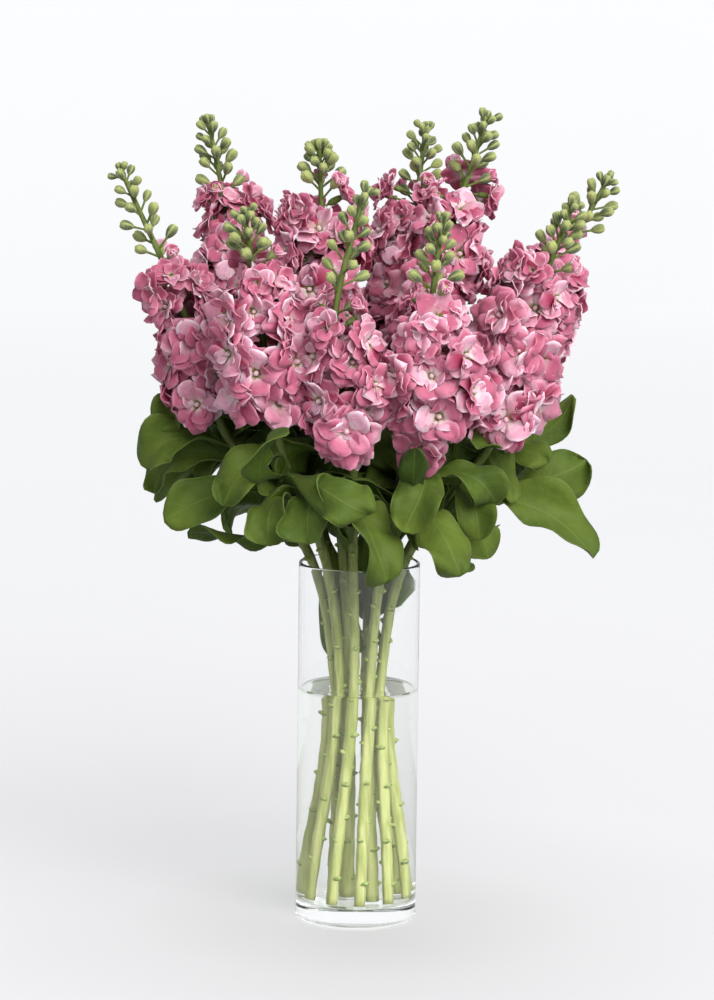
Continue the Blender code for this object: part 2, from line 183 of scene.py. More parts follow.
# Florets that stand in given places: stem, height in millimetres, bearing and, where it
# isn't the usual one, how much further out they stand
PLACED_FLORETS = (
    ("a", 527, 224), ("a", 482, 299), ("b", 548, 257), ("c", 538, 277),
    ("c", 468, 255), ("e", 505, 254), ("e", 476, 299), ("e", 426, 267),
    ("h", 499, 264), ("h", 440, 220), ("i", 531, 242), ("i", 511, 298),
    ("j", 520, 205), ("j", 482, 264), ("j", 428, 272), ("b", 582, 335), ("b", 560, 300),
    ("d", 584, 195), ("d", 566, 330), ("d", 545, 200), ("f", 594, 200), ("f", 570, 240),
    ("g", 604, 340), ("g", 575, 215), ("a", 520, 330), ("c", 520, 0), ("c", 495, 335),
    ("j", 526, 178, 12), ("j", 508, 160, 13), ("j", 492, 205, 10), ("j", 540, 205, 6),
    ("d", 574, 352, 9), ("d", 552, 8, 9), ("f", 586, 192, 9), ("f", 556, 205, 9),
    ("d", 552, 205, 9), ("d", 575, 185, 8), ("b", 568, 352, 8), ("g", 545, 15, 8),
    ("c", 472, 316, 9), ("c", 506, 318, 5), ("e", 490, 322, 11),
    ("e", 454, 318, 11), ("h", 470, 220, 11), ("h", 482, 320, 13), ("h", 452, 326, 13),
    ("j", 470, 216, 13), ("j", 446, 228, 11), ("j", 502, 224, 13), ("a", 480, 318, 11),
    ("c", 484, 222, 11), ("c", 512, 224, 9),
    ("d", 520, 250, 9), ("g", 520, 262, 9), ("g", 500, 285, 7), ("b", 520, 270, 9),
    ("b", 446, 190, 10), ("b", 470, 200, 8), ("a", 446, 340, 8), ("d", 440, 200, 10),
    ("b", 436, 330, 10), ("d", 436, 250, 8),
)

# Each leaf in millimetres and degrees: its stem and the height of its root there, the
# midrib's middle and tip, the width, and the blade's roll at the middle and at the tip
LEAVES = (
    ("a", 402, (-143, 0, 424), (-166, -10, 408), 27, -35, -50),
    ("a", 392, (-152, -10, 402), (-177, -14, 376), 36, -45, -70),
    ("a", 374, (-146, 12, 384), (-170, 16, 352), 36, -60, -70),
    ("a", 354, (-122, 34, 352), (-154, 52, 320), 32, 10, 20),
    ("a", 316, (-90, -24, 324), (-140, -38, 332), 32, 30, 35),
    ("b", 372, (-126, 58, 374), (-172, 44, 344), 28, -40, -60),
    ("b", 386, (-106, 34, 378), (-138, 26, 364), 28, -20, -30),
    ("b", 392, (-102, 42, 398), (-132, 40, 388), 32, -55, -60),
    ("b", 394, (-108, 88, 408), (-134, 108, 388), 32, 20, 30),
    ("b", 360, (-80, 92, 366), (-92, 126, 334), 36, 0, 0),
    ("b", 335, (-84, 62, 338), (-120, 78, 318), 32, -10, -20),
    ("c", 368, (-104, -46, 364), (-158, -58, 346), 36, -45, -55),
    ("c", 380, (-80, -110, 390), (-62, -124, 430), 26, 60, 80),
    ("c", 394, (-88, -80, 392), (-110, -94, 360), 36, -40, -50),
    ("c", 356, (-68, -80, 360), (-76, -98, 328), 36, 0, 0),
    ("c", 382, (-28, -126, 377), (10, -134, 354), 38, 55, 60),
    ("d", 388, (-62, 22, 398), (-96, 16, 382), 34, -50, -60),
    ("d", 350, (-36, 80, 352), (-44, 122, 322), 34, 10, 10),
    ("e", 372, (-34, -100, 374), (-44, -116, 332), 42, 15, 20),
    ("e", 356, (4, -106, 348), (26, -128, 306), 48, -5, -10),
    ("f", 394, (2, 126, 404), (-12, 150, 380), 34, 10, 20),
    ("f", 376, (44, 118, 384), (58, 150, 352), 36, -15, -20),
    ("f", 346, (14, 104, 346), (10, 134, 310), 38, 0, 0),
    ("g", 382, (86, 0, 378), (126, -4, 358), 32, 50, 60),
    ("h", 386, (50, -104, 378), (34, -122, 344), 40, -10, -20),
    ("h", 372, (42, -114, 382), (43, -126, 412), 24, 0, 0),
    ("h", 354, (62, -98, 344), (80, -116, 308), 44, 15, 20),
    ("h", 378, (84, -88, 386), (112, -88, 360), 34, 40, 60),
    ("i", 366, (144, 28, 364), (187, 34, 384), 42, 65, 70),
    ("i", 392, (150, 38, 402), (172, 36, 434), 26, 60, 60),
    ("i", 388, (128, 10, 394), (154, 4, 383), 30, 50, 60),
    ("i", 376, (112, 70, 384), (128, 100, 356), 34, -20, -30),
    ("i", 344, (92, 62, 346), (108, 92, 312), 36, 0, 10),
    ("b", 372, (-50, 46, 350), (-34, 42, 314), 28, 0, 0),
    ("d", 384, (-30, 44, 352), (-12, 46, 314), 30, 0, 0),
    ("f", 372, (28, 72, 348), (16, 50, 314), 30, 0, 0),
    ("g", 378, (40, 24, 350), (30, 30, 314), 28, 0, 0),
    ("a", 366, (-66, 6, 344), (-42, 10, 314), 26, 0, 0),
    ("i", 372, (66, 34, 346), (46, 24, 316), 26, 0, 0),
    ("c", 366, (-40, -34, 344), (-30, -20, 316), 20, 20, 0),
    ("j", 362, (60, -30, 340), (44, -24, 316), 20, 10, 0),
    ("i", 304, (33, 8, 290), (31, -1, 262), 26, 5, 10),
    ("d", 300, (-9, 22, 268), (4, 14, 222), 9, 20, 40),
    ("f", 298, (16, 30, 262), (0, 16, 220), 9, -20, -10),
    ("b", 298, (-30, 22, 262), (-24, 8, 218), 9, 0, 30),
    ("g", 300, (8, 14, 262), (22, 18, 224), 8, 0, -30),
    ("b", 350, (-26, 18, 312), (-23, 16, 256), 17, 0, 10),
    ("d", 352, (-13, 26, 312), (-12, 24, 248), 19, 0, 15),
    ("f", 350, (4, 28, 312), (3, 27, 244), 20, 0, -10),
    ("g", 352, (19, 24, 312), (17, 23, 250), 18, 10, 0),
    ("i", 350, (28, 16, 312), (27, 15, 266), 14, 0, 10),
    ("d", 376, (-22, 60, 352), (-26, 54, 316), 30, 0, 10),
    ("f", 380, (6, 66, 356), (2, 54, 318), 30, 0, -10),
    ("j", 372, (90, -66, 364), (96, -84, 332), 32, 10, 10),
    ("j", 346, (92, -50, 336), (106, -62, 314), 30, 20, 20),
    ("j", 354, (140, -32, 352), (190, -44, 312), 44, 45, 50),
    ("j", 330, (74, -24, 299), (93, -20, 303), 9, 20, 40),
)

# The numbers of leaves inside the bunch and by the rim, the seed of both, and how far
# from the middle and how low the inner leaves' tips may be, in millimetres
INNER_LEAVES = 52
RIM_LEAVES = 30
INNER_SEED = 11
INNER_REACH = (145, 112)
INNER_LOWEST = 318


class VaseSettings(bpy.types.PropertyGroup):
    radius: FloatProperty(
        name="Radius", description="Outer radius of the cylinder",
        default=(VASE_BOX[1].x - VASE_BOX[0].x) / 2, unit="LENGTH",
    )
    height: FloatProperty(
        name="Height", description="Height of the cylinder",
        default=VASE_BOX[1].z, unit="LENGTH",
    )
    wall: FloatProperty(
        name="Wall", description="Thickness of the glass wall", default=0.003,
        unit="LENGTH",
    )
    base: FloatProperty(
        name="Base", description="Thickness of the glass under the water",
        default=0.016, unit="LENGTH",
    )
    glass_colour: FloatVectorProperty(
        name="Glass", description="Tint of the glass", default=(0.985, 0.995, 0.99),
        subtype="COLOR",
    )


class WaterSettings(bpy.types.PropertyGroup):
    level: FloatProperty(
        name="Level", description="Height of the water's surface",
        default=WATER_BOX[1].z, unit="LENGTH",
    )
    water_colour: FloatVectorProperty(
        name="Water", description="Tint of the water", default=(0.985, 0.995, 0.97),
        subtype="COLOR",
    )
    bubbles: IntProperty(
        name="Bubbles", description="Number of bubbles on the surface", default=26,
    )


class StalkSettings(bpy.types.PropertyGroup):
    foot_radius: FloatProperty(
        name="Foot Radius", description="Stem radius at the cut end", default=0.0042,
        unit="LENGTH",
    )
    neck_radius: FloatProperty(
        name="Neck Radius", description="Stem radius at the lowest florets",
        default=0.0036, unit="LENGTH",
    )
    tip_radius: FloatProperty(
        name="Tip Radius", description="Stem radius at the tip", default=0.0017,
        unit="LENGTH",
    )
    foot_colour: FloatVectorProperty(
        name="Foot Colour", description="Green of a stem under water",
        default=(0.47, 0.485, 0.195), subtype="COLOR",
    )
    upper_colour: FloatVectorProperty(
        name="Upper Colour", description="Green of a stem above the vase",
        default=(0.175, 0.225, 0.062), subtype="COLOR",
    )


class LeafSettings(bpy.types.PropertyGroup):
    thickness: FloatProperty(
        name="Thickness", description="Thickness of a blade", default=0.0008,
        unit="LENGTH",
    )
    upper_colour: FloatVectorProperty(
        name="Upper Side", description="Green of a blade's upper side",
        default=(0.058, 0.108, 0.010), subtype="COLOR",
    )
    under_colour: FloatVectorProperty(
        name="Underside", description="Green of a blade's underside",
        default=(0.115, 0.180, 0.030), subtype="COLOR",
    )
    vein_colour: FloatVectorProperty(
        name="Veins", description="Green of the midrib and veins",
        default=(0.21, 0.30, 0.07), subtype="COLOR",
    )


class FloretSettings(bpy.types.PropertyGroup):
    radius: FloatProperty(
        name="Radius", description="Radius of the lowest florets", default=0.0272,
        unit="LENGTH",
    )
    spacing: FloatProperty(
        name="Spacing", description="Rise from one floret to the next", default=0.0054,
        unit="LENGTH",
    )
    petal_thickness: FloatProperty(
        name="Petal Thickness", description="Thickness of a petal", default=0.00035,
        unit="LENGTH",
    )
    petal_colour: FloatVectorProperty(
        name="Petals", description="Pink of the petals", default=(0.70, 0.215, 0.335),
        subtype="COLOR",
    )
    # Paler pink of the petals' edges: partly the petals' own colour, partly painted highlight
    edge_and_highlight_colour: FloatVectorProperty(
        name="Petal Edges", description="Pink of the petals' edges",
        default=(0.92, 0.47, 0.62), subtype="COLOR",
    )
    # Painted shade: darker pink where the outer petals' narrow ends lie deep in the floret
    recess_shade_colour: FloatVectorProperty(
        name="Recesses", description="Pink of the outer petals' narrow ends",
        default=(0.47, 0.052, 0.130), subtype="COLOR",
    )
    heart_colour: FloatVectorProperty(
        name="Hearts", description="Colour at the petals' narrow ends",
        default=(0.90, 0.78, 0.77), subtype="COLOR",
    )


class BudSettings(bpy.types.PropertyGroup):
    count: IntProperty(
        name="Buds", description="Number of green buds on a stem", default=22,
    )
    bud_colour: FloatVectorProperty(
        name="Buds", description="Green of the buds", default=(0.086, 0.126, 0.046),
        subtype="COLOR",
    )
    tip_colour: FloatVectorProperty(
        name="Bud Tips", description="Green of the buds' tips",
        default=(0.47, 0.52, 0.15), subtype="COLOR",
    )


class StageSettings(bpy.types.PropertyGroup):
    floor_colour: FloatVectorProperty(
        name="Floor", description="Pale grey of the floor and backdrop",
        default=(0.29, 0.29, 0.30), subtype="COLOR",
    )
    key_power: FloatProperty(
        name="Key Light", description="Power of the light at the upper right",
        default=400.0, unit="POWER",
    )
    sky_strength: FloatProperty(
        name="Soft Light", description="Strength of the light from all round",
        default=0.18,
    )


SETTINGS = {
    "stock_vase": VaseSettings,
    "stock_water": WaterSettings,
    "stock_stalks": StalkSettings,
    "stock_leaves": LeafSettings,
    "stock_florets": FloretSettings,
    "stock_buds": BudSettings,
    "stock_stage": StageSettings,
}


def between(ends, t):
    return ends[0] + (ends[1] - ends[0]) * t


def unit(vectors):
    return vectors / np.linalg.norm(vectors, axis=-1, keepdims=True)


def smooth(t):
    t = np.clip(t, 0.0, 1.0)
    return t * t * (3 - 2 * t)


def halfway(first, second):
    """The colour midway between two."""
    return tuple(between(pair, 0.5) for pair in zip(first, second))


def bow(root, pull, end, t):
    """Points on a curve from root to end that is drawn towards pull."""
    return root * (1 - t) ** 2 + pull * 2 * t * (1 - t) + end * t**2


def bearing_vector(degrees):
    return Vector((math.cos(math.radians(degrees)), math.sin(math.radians(degrees)), 0))


def side_of(along, bearing):
    """The direction straight out from a stem towards this bearing."""
    side = bearing_vector(bearing)
    return (side - along * side.dot(along)).normalized()


def raised(along, bearing, climb):
    """The direction out from a stem towards this bearing, raised by climb in degrees."""
    climb = math.radians(climb)
    return side_of(along, bearing) * math.cos(climb) + along * math.sin(climb)


def facing(point, outwards, spin=0.0):
    """A placement at the point with +Z along outwards, turned by spin about it."""
    turn = outwards.to_track_quat("Z", "Y").to_matrix().to_4x4()
    return Matrix.Translation(point) @ turn @ Matrix.Rotation(spin, 4, "Z")


def eased(heights, values, height):
    """The values at each height on the smooth curve through the values given."""
    spans = np.diff(heights)
    slopes = np.diff(values, axis=0) / spans[:, None]
    turns = np.empty_like(values)
    turns[0], turns[-1] = slopes[0], slopes[-1]
    weighed = slopes[:-1] * spans[1:, None] + slopes[1:] * spans[:-1, None]
    turns[1:-1] = weighed / (spans[1:] + spans[:-1])[:, None]
    i = np.clip(np.searchsorted(heights, height, side="right") - 1, 0, len(spans) - 1)
    span = spans[i][..., None]
    t = (height - heights[i])[..., None] / span
    rise = 3 * t**2 - 2 * t**3
    bends = turns[i] * (t**3 - 2 * t**2 + t) + turns[i + 1] * (t**3 - t**2)
    return values[i] * (1 - rise) + values[i + 1] * rise + span * bends


def stem_tip(stem):
    return STEMS[stem][-1][2] * MM


def on_stem(stem, height):
    """The stem's middle line at this height, or at each of these heights."""
    heights = np.array(
        (FOOT_HEIGHT, WAIST_HEIGHT, RIM_HEIGHT, NECK_HEIGHT, HEAD_HEIGHT, stem_tip(stem))
    )
    knots = np.array([knot[:2] for knot in STEMS[stem]]) * MM
    height = np.asarray(height, float)
    return np.concatenate([eased(heights, knots, height), height[..., None]], axis=-1)


def stem_direction(stem, height):
    return Vector(on_stem(stem, height + MM) - on_stem(stem, height - MM)).normalized()


def stem_radius(stem, height):
    """The stem's radius at each of these heights."""
    stalks = bpy.context.scene.stock_stalks
    return np.interp(
        height,
        (FOOT_HEIGHT, NECK_HEIGHT, stem_tip(stem)),
        (stalks.foot_radius, stalks.neck_radius, stalks.tip_radius),
    )


def in_box(places):
    """The places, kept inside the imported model's own box."""
    low, high = (np.array(corner) for corner in CAD_BOX)
    return np.clip(places, low + BOX_ROOM, high - BOX_ROOM)


def mesh_from(bm, name):
    """The finished mesh, smooth shaded."""
    mesh = bpy.data.meshes.new(name)
    bm.to_mesh(mesh)
    bm.free()
    mesh.shade_smooth()
    return mesh


def places_of(verts):
    return np.array([vert.co for vert in verts])


def move_to(verts, places):
    for vert, place in zip(verts, places):
        vert.co = place


def add_piece(name, bm, finishes, slot, *nodes):
    """A piece of the object, which rides with the model and stands for these nodes."""
    piece = bpy.data.objects.new(name, mesh_from(bm, name))
    bpy.context.scene.collection.objects.link(piece)
    for finish in finishes:
        piece.data.materials.append(finish)
    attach(piece, "root")
    if nodes:
        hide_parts(*nodes)
    return piece


def thicken(piece, thickness, under=0):
    """Gives sheets a thickness, and the finish that is under places on to their underside."""
    wall = piece.modifiers.new("thickness", "SOLIDIFY")
    wall.thickness = thickness
    wall.offset = 0
    wall.material_offset = under


def add_tube(bm, line, radii, sides, ridge=0.0):
    """A tube along the line, rolled up from a grid and closed at both ends."""
    line, radii = np.asarray(line, float), np.asarray(radii, float)
    last = len(line) - 1
    grid = bmesh.ops.create_grid(bm, x_segments=last, y_segments=sides, size=0.5)
    verts = grid["verts"]
    flat = places_of(verts)
    ring = np.rint((flat[:, 0] + 0.5) * last).astype(int)
    turn = (flat[:, 1] + 0.5) * math.tau
    along = unit(np.gradient(line, axis=0))
    level = np.array((1.0, 0.0, 0.0) if abs(along[0][0]) < 0.8 else (0.0, 1.0, 0.0))
    first = unit(level - along * (along @ level)[:, None])
    second = np.cross(along, first)
    reach = radii[ring] * (1 + ridge * np.cos(RIDGES * turn))
    spokes = np.cos(turn)[:, None] * first[ring] + np.sin(turn)[:, None] * second[ring]
    move_to(verts, line[ring] + spokes * reach[:, None])
    bmesh.ops.remove_doubles(bm, verts=verts, dist=1e-7)
    verts = [vert for vert in verts if vert.is_valid]
    rims = {edge for vert in verts for edge in vert.link_edges if edge.is_boundary}
    bmesh.ops.holes_fill(bm, edges=list(rims), sides=0)
    faces = {face for vert in verts for face in vert.link_faces}
    bmesh.ops.recalc_face_normals(bm, faces=list(faces))


# Finishes


def new_finish(name):
    """An empty node material and its tree."""
    made = bpy.data.materials.new(name)
    made.use_nodes = True
    made.node_tree.nodes.clear()
    return made, made.node_tree


def add_node(tree, kind, inputs=None, **settings):
    """A node whose inputs are given as values or as the sockets that feed them."""
    node = tree.nodes.new("ShaderNode" + kind)
    for name, value in settings.items():
        setattr(node, name, value)
    for name, value in (inputs or {}).items():
        if isinstance(value, bpy.types.NodeSocket):
            tree.links.new(value, node.inputs[name])
        else:
            node.inputs[name].default_value = value
    return node


def maths(tree, operation, first, second=0.5):
    """The outcome of one operation, which some do on the first input alone."""
    return add_node(tree, "Math", {0: first, 1: second}, operation=operation).outputs[0]


def add_ramp(tree, factor, *stops):
    """A colour ramp whose stops are a position and its grey, or its red, green and blue."""
    node = add_node(tree, "ValToRGB", {"Fac": factor})
    elements = node.color_ramp.elements
    while len(elements) < len(stops):
        elements.new(0.5)
    for element, (position, *colour) in zip(elements, stops):
        element.position = position
        element.color = (*(colour if len(colour) == 3 else colour * 3), 1.0)
    return node.outputs["Color"]


def mix_colours(tree, kind, factor, first, second):
    parts = {0: factor, 6: first, 7: second}
    return add_node(tree, "Mix", parts, data_type="RGBA", blend_type=kind).outputs[2]


def object_noise(tree, scale, detail=3.0, stretch=(1, 1, 1)):
    """Noise over the piece's own coordinates, as its value socket."""
    place = add_node(tree, "TexCoord").outputs["Object"]
    spread = add_node(tree, "Mapping", {"Scale": stretch, "Vector": place})
    parts = {"Scale": scale, "Detail": detail, "Vector": spread.outputs[0]}
    return add_node(tree, "TexNoise", parts).outputs["Fac"]


def painted(tree, name):
    """The sockets of an attribute's red, green, blue and alpha."""
    kept = add_node(tree, "Attribute", attribute_name=name).outputs
    parts = add_node(tree, "SeparateColor", {"Color": kept["Color"]}).outputs
    return parts[0], parts[1], parts[2], kept["Alpha"]


def bump(tree, height, strength, distance):
    parts = {"Strength": strength, "Distance": distance, "Height": height}
    return add_node(tree, "Bump", parts).outputs["Normal"]


def show(tree, shader):
    """The shader, shown as the finish's surface."""
    add_node(tree, "OutputMaterial", {"Surface": shader.outputs[0]})


def show_mixed(tree, factor, first, second):
    parts = {"Fac": factor, 1: first.outputs[0], 2: second.outputs[0]}
    show(tree, add_node(tree, "MixShader", parts))


def thin_finish(tree, colour, through, glow, normal, roughness, sheen=0.0):
    """A soft surface that also lets some light through from behind."""
    skin = add_node(
        tree, "BsdfPrincipled",
        {"Base Color": colour, "Normal": normal, "Roughness": roughness,
         "Sheen Weight": sheen, "Specular IOR Level": SOFT_GLOSS},
    )
    behind = add_node(tree, "BsdfTranslucent", {"Color": glow, "Normal": normal})
    show_mixed(tree, through, skin, behind)


def clear_finish(name, colour, refraction, ripple, ripple_scale):
    """Glass or water, whose shadow is left out so that lamps reach what it holds."""
    made, tree = new_finish(name)
    waves = object_noise(tree, ripple_scale, 1.0)
    body = add_node(
        tree, "BsdfPrincipled",
        {"Base Color": (*colour, 1.0), "Roughness": 0.0, "IOR": refraction,
         "Transmission Weight": 1.0, "Normal": bump(tree, waves, ripple, 0.001)},
    )
    path = add_node(tree, "LightPath").outputs
    late = maths(tree, "GREATER_THAN", path["Ray Depth"], LAST_BEND)
    straight = maths(tree, "MAXIMUM", path["Is Shadow Ray"], late)
    open_way = add_node(tree, "BsdfTransparent", {"Color": (*colour, 1.0)})
    show_mixed(tree, straight, body, open_way)
    return made


def stalk_finish():
    """Ridged green stem, paler and yellower under water."""
    stalks = bpy.context.scene.stock_stalks
    made, tree = new_finish("stalk_green")
    foot, upper = stalks.foot_colour, stalks.upper_colour
    place = add_node(tree, "TexCoord").outputs["Object"]
    parts = add_node(tree, "SeparateXYZ", {"Vector": place})
    height = add_node(
        tree, "MapRange", {"From Max": GREEN_SPAN, "Value": parts.outputs["Z"]}
    )
    green = add_ramp(
        tree, height.outputs["Result"], (0.0, *foot), (0.32, *foot),
        (0.42, *halfway(foot, upper)), (0.58, *upper), (1.0, *upper),
    )
    streaks = object_noise(tree, 260.0, 2.0, (1, 1, 0.06))
    lines = add_ramp(tree, streaks, (0.36, 0.60, 0.66, 0.44), (0.60, 1.05, 1.05, 1.12))
    streaked = mix_colours(tree, "MULTIPLY", 0.8, green, lines)
    patches = object_noise(tree, 45.0, 2.0)
    tones = add_ramp(tree, patches, (0.35, 0.80, 0.86, 0.70), (0.65, 1))
    colour = mix_colours(tree, "MULTIPLY", 0.6, streaked, tones)
    normal = bump(tree, streaks, 0.35, 0.0006)
    thin_finish(tree, colour, 0.12, colour, normal, 0.45)
    return made


def scar_finish():
    """Darker, corky green of the stubs left by stripped leaves."""
    made, tree = new_finish("scar_green")
    grain = object_noise(tree, 500.0)
    colour = add_ramp(tree, grain, (0.35, 0.16, 0.24, 0.05), (0.65, 0.40, 0.46, 0.16))
    thin_finish(tree, colour, 0.10, colour, bump(tree, grain, 0.5, 0.0005), 0.6)
    return made


def leaf_finish(name, ground, under):
    """One side of a leaf: matte green with a pale midrib and arching side veins."""
    leaves = bpy.context.scene.stock_leaves
    made, tree = new_finish(name)
    chart = add_node(tree, "UVMap", uv_map="blade").outputs["UV"]
    parts = add_node(tree, "SeparateXYZ", {"Vector": chart}).outputs
    aside = maths(tree, "ABSOLUTE", maths(tree, "SUBTRACT", parts["Y"], 0.5))
    ahead = maths(tree, "SUBTRACT", parts["X"], maths(tree, "MULTIPLY", aside, VEIN_SWEEP))
    rows = maths(tree, "SINE", maths(tree, "MULTIPLY", ahead, VEIN_PACE))
    veins = add_ramp(tree, rows, (0.70, 0), (1.0, 0.09))
    ribs = add_ramp(tree, aside, (0.006, 0.4), (0.028, 0), (0.474, 0), (0.5, 0.6))
    lines = mix_colours(tree, "LIGHTEN", 1.0, veins, ribs)
    patches = object_noise(tree, 19.0, 5.0)
    tones = add_ramp(tree, patches, (0.34, 0.60, 0.68, 0.55), (0.66, 1.38, 1.28, 1.0))
    green = mix_colours(tree, "MULTIPLY", 1.0, (*ground, 1.0), tones)
    colour = mix_colours(tree, "MIX", lines, green, (*leaves.vein_colour, 1.0))
    glow = mix_colours(tree, "MIX", 0.5, colour, (0.26, 0.42, 0.02, 1.0))
    puckers = object_noise(tree, 95.0)
    relief = mix_colours(tree, "ADD" if under else "SUBTRACT", 0.5, puckers, lines)
    normal = bump(tree, relief, 0.55, 0.0024)
    thin_finish(tree, colour, 0.30, glow, normal, 0.60 if under else 0.40, 0.05)
    return made


def petal_finish():
    """Pink petal with a paler edge that is partly painted highlight, a whitish narrow end, a
    green throat darkened to painted shade at its base, and painted shade deep in the floret.
    """
    florets = bpy.context.scene.stock_florets
    made, tree = new_finish("petal_pink")
    along, aside, inner, tone = painted(tree, "petal")
    pink, rim = florets.petal_colour, florets.edge_and_highlight_colour
    heart, recess_shade, soft = florets.heart_colour, florets.recess_shade_colour, halfway(pink, rim)
    # Near black, then dark green, at the narrowest ends: painted shade in the gaps at the
    # floret's eye, before the throat's own yellow-green and the whitish heart
    length = add_ramp(
        tree, along,
        (0.0, 0.03, 0.05, 0.005), (0.08, 0.12, 0.17, 0.02), (0.15, 0.48, 0.52, 0.14),
        (0.22, *heart), (0.32, *heart), (0.46, *soft), (0.62, *pink), (1.0, *pink),
    )
    # Outer petals: near black at the very base, then deep pink as painted shade where they lie
    # deep in the floret
    outer = add_ramp(
        tree, along,
        (0.0, 0.06, 0.09, 0.01), (0.14, 0.22, 0.24, 0.04), (0.26, *recess_shade), (0.42, *recess_shade),
        (0.78, *pink), (1.0, *pink),
    )
    hearts = add_ramp(tree, inner, (0.10, 0), (0.55, 1))
    ground = mix_colours(tree, "MIX", hearts, outer, length)
    # Paler edges, partly the petals' own colour and partly painted highlight
    edges = add_ramp(tree, aside, (0.66, 0), (1.0, 0.70))
    edge_highlighted = mix_colours(tree, "MIX", edges, ground, (*rim, 1.0))
    streaks = object_noise(tree, 320.0, 4.0)
    veins = add_ramp(tree, streaks, (0.35, 0.86, 0.66, 0.78), (0.60, 1))
    streaked = mix_colours(tree, "MULTIPLY", 0.35, edge_highlighted, veins)
    tones = add_ramp(tree, tone, (0.0, 0.80, 0.62, 0.70), (0.5, 1.02), (1.0, 1.24, 2.50, 2.00))
    blade = add_ramp(tree, along, (0.34, 0), (0.55, 1))
    toned = mix_colours(tree, "MULTIPLY", blade, streaked, tones)
    glow = mix_colours(tree, "MULTIPLY", 1.0, toned, (1.0, 0.34, 0.50, 1.0))
    normal = bump(tree, streaks, 0.45, 0.0008)
    thin_finish(tree, toned, 0.26, glow, normal, 0.50, 0.05)
    return made


def bud_finish():
    """Downy grey-green bud whose tip is yellower."""
    buds = bpy.context.scene.stock_buds
    made, tree = new_finish("bud_green")
    rise, seam, tone, _ = painted(tree, "bud")
    green, tip = buds.bud_colour, buds.tip_colour
    length = add_ramp(
        tree, rise, (0.0, *tip), (0.15, *green), (0.6, *green),
        (0.85, *halfway(green, tip)), (1.0, *tip),
    )
    seams = add_ramp(tree, seam, (0.30, 0), (0.95, 0.95))
    seamed = mix_colours(tree, "MIX", seams, length, (*tip, 1.0))
    bright = add_ramp(tree, tone, (0.0, 0), (1.0, 0.75))
    toned = mix_colours(tree, "MIX", bright, seamed, (*tip, 1.0))
    down = object_noise(tree, 900.0, 2.0)
    hairs = add_ramp(tree, down, (0.40, 0.05, 0.08, 0.03), (0.62, 0.44, 0.50, 0.34))
    colour = mix_colours(tree, "MIX", 0.22, toned, hairs)
    normal = bump(tree, down, 0.4, 0.0004)
    thin_finish(tree, colour, 0.12, colour, normal, 0.6, 0.3)
    return made


def dimmed(tree, seen, lit):
    """A light's strength: seen for the camera, lit for surfaces, between for mirrored."""
    path = add_node(tree, "LightPath").outputs
    mirrored = maths(tree, "MULTIPLY", path["Is Reflection Ray"], MIRRORED)
    share = maths(tree, "MAXIMUM", path["Is Diffuse Ray"], mirrored)
    parts = {"To Min": seen, "To Max": lit, "Value": share}
    return add_node(tree, "MapRange", parts).outputs["Result"]


def stage_finish():
    """Pale paper of the floor with a painted glow: dim near the vase as painted shade round its
    foot, brighter out to where it sweeps up far away.
    """
    ground = bpy.context.scene.stock_stage.floor_colour
    made, tree = new_finish("stage_paper_glow")
    place = add_node(tree, "TexCoord").outputs["Object"]
    level = add_node(
        tree, "VectorMath", {0: place, 1: (1 / STAGE_REACH, 1 / STAGE_REACH, 0)},
        operation="MULTIPLY",
    )
    apart = add_node(
        tree, "VectorMath", {0: level.outputs[0]}, operation="LENGTH"
    )
    # Painted glow and shade: the floor glows least near the vase, as painted shade round its
    # foot, and most far out where it sweeps up
    glow = add_ramp(
        tree, apart.outputs["Value"],
        (0.0, 0.35, 0.35, 0.345), (0.012, 0.37), (0.028, 0.46, 0.46, 0.465),
        (0.057, 0.52, 0.52, 0.53), (0.12, 0.545, 0.545, 0.555), (0.22, 0.59, 0.595, 0.61),
        (0.75, 0.78, 0.79, 0.795), (1.0, 0.80, 0.81, 0.82),
    )
    grain = object_noise(tree, 3.0, 2.0)
    lighter = [min(part * 1.02, 1.0) for part in ground]
    paper = add_node(
        tree, "BsdfPrincipled",
        {"Roughness": 0.6, "Specular IOR Level": 0.1, "Emission Color": glow,
         "Base Color": add_ramp(tree, grain, (0.3, *ground), (0.7, *lighter)),
         "Emission Strength": dimmed(tree, 1.0, SPILL)},
    )
    show(tree, paper)
    return made


# Vase and water


def arc(middle, radius, start, end, steps):
    """Points of an arc in the X-Z plane, from start to end in degrees."""
    turns = np.radians(np.linspace(start, end, steps + 1))
    return [
        (middle[0] + radius * math.cos(turn), middle[1] + radius * math.sin(turn))
        for turn in turns
    ]


def turned(outline, steps):
    """A body turned about Z from its outline, which starts on the axis."""
    bm = bmesh.new()
    verts = [bm.verts.new((x, 0, z)) for x, z in outline]
    edges = [bm.edges.new(pair) for pair in zip(verts, verts[1:])]
    bmesh.ops.spin(
        bm, geom=verts + edges, cent=(0, 0, 0), axis=(0, 0, 1), angle=math.tau,
        steps=steps, use_merge=True,
    )
    bmesh.ops.remove_doubles(bm, verts=bm.verts, dist=1e-6)
    bmesh.ops.recalc_face_normals(bm, faces=bm.faces)
    return bm


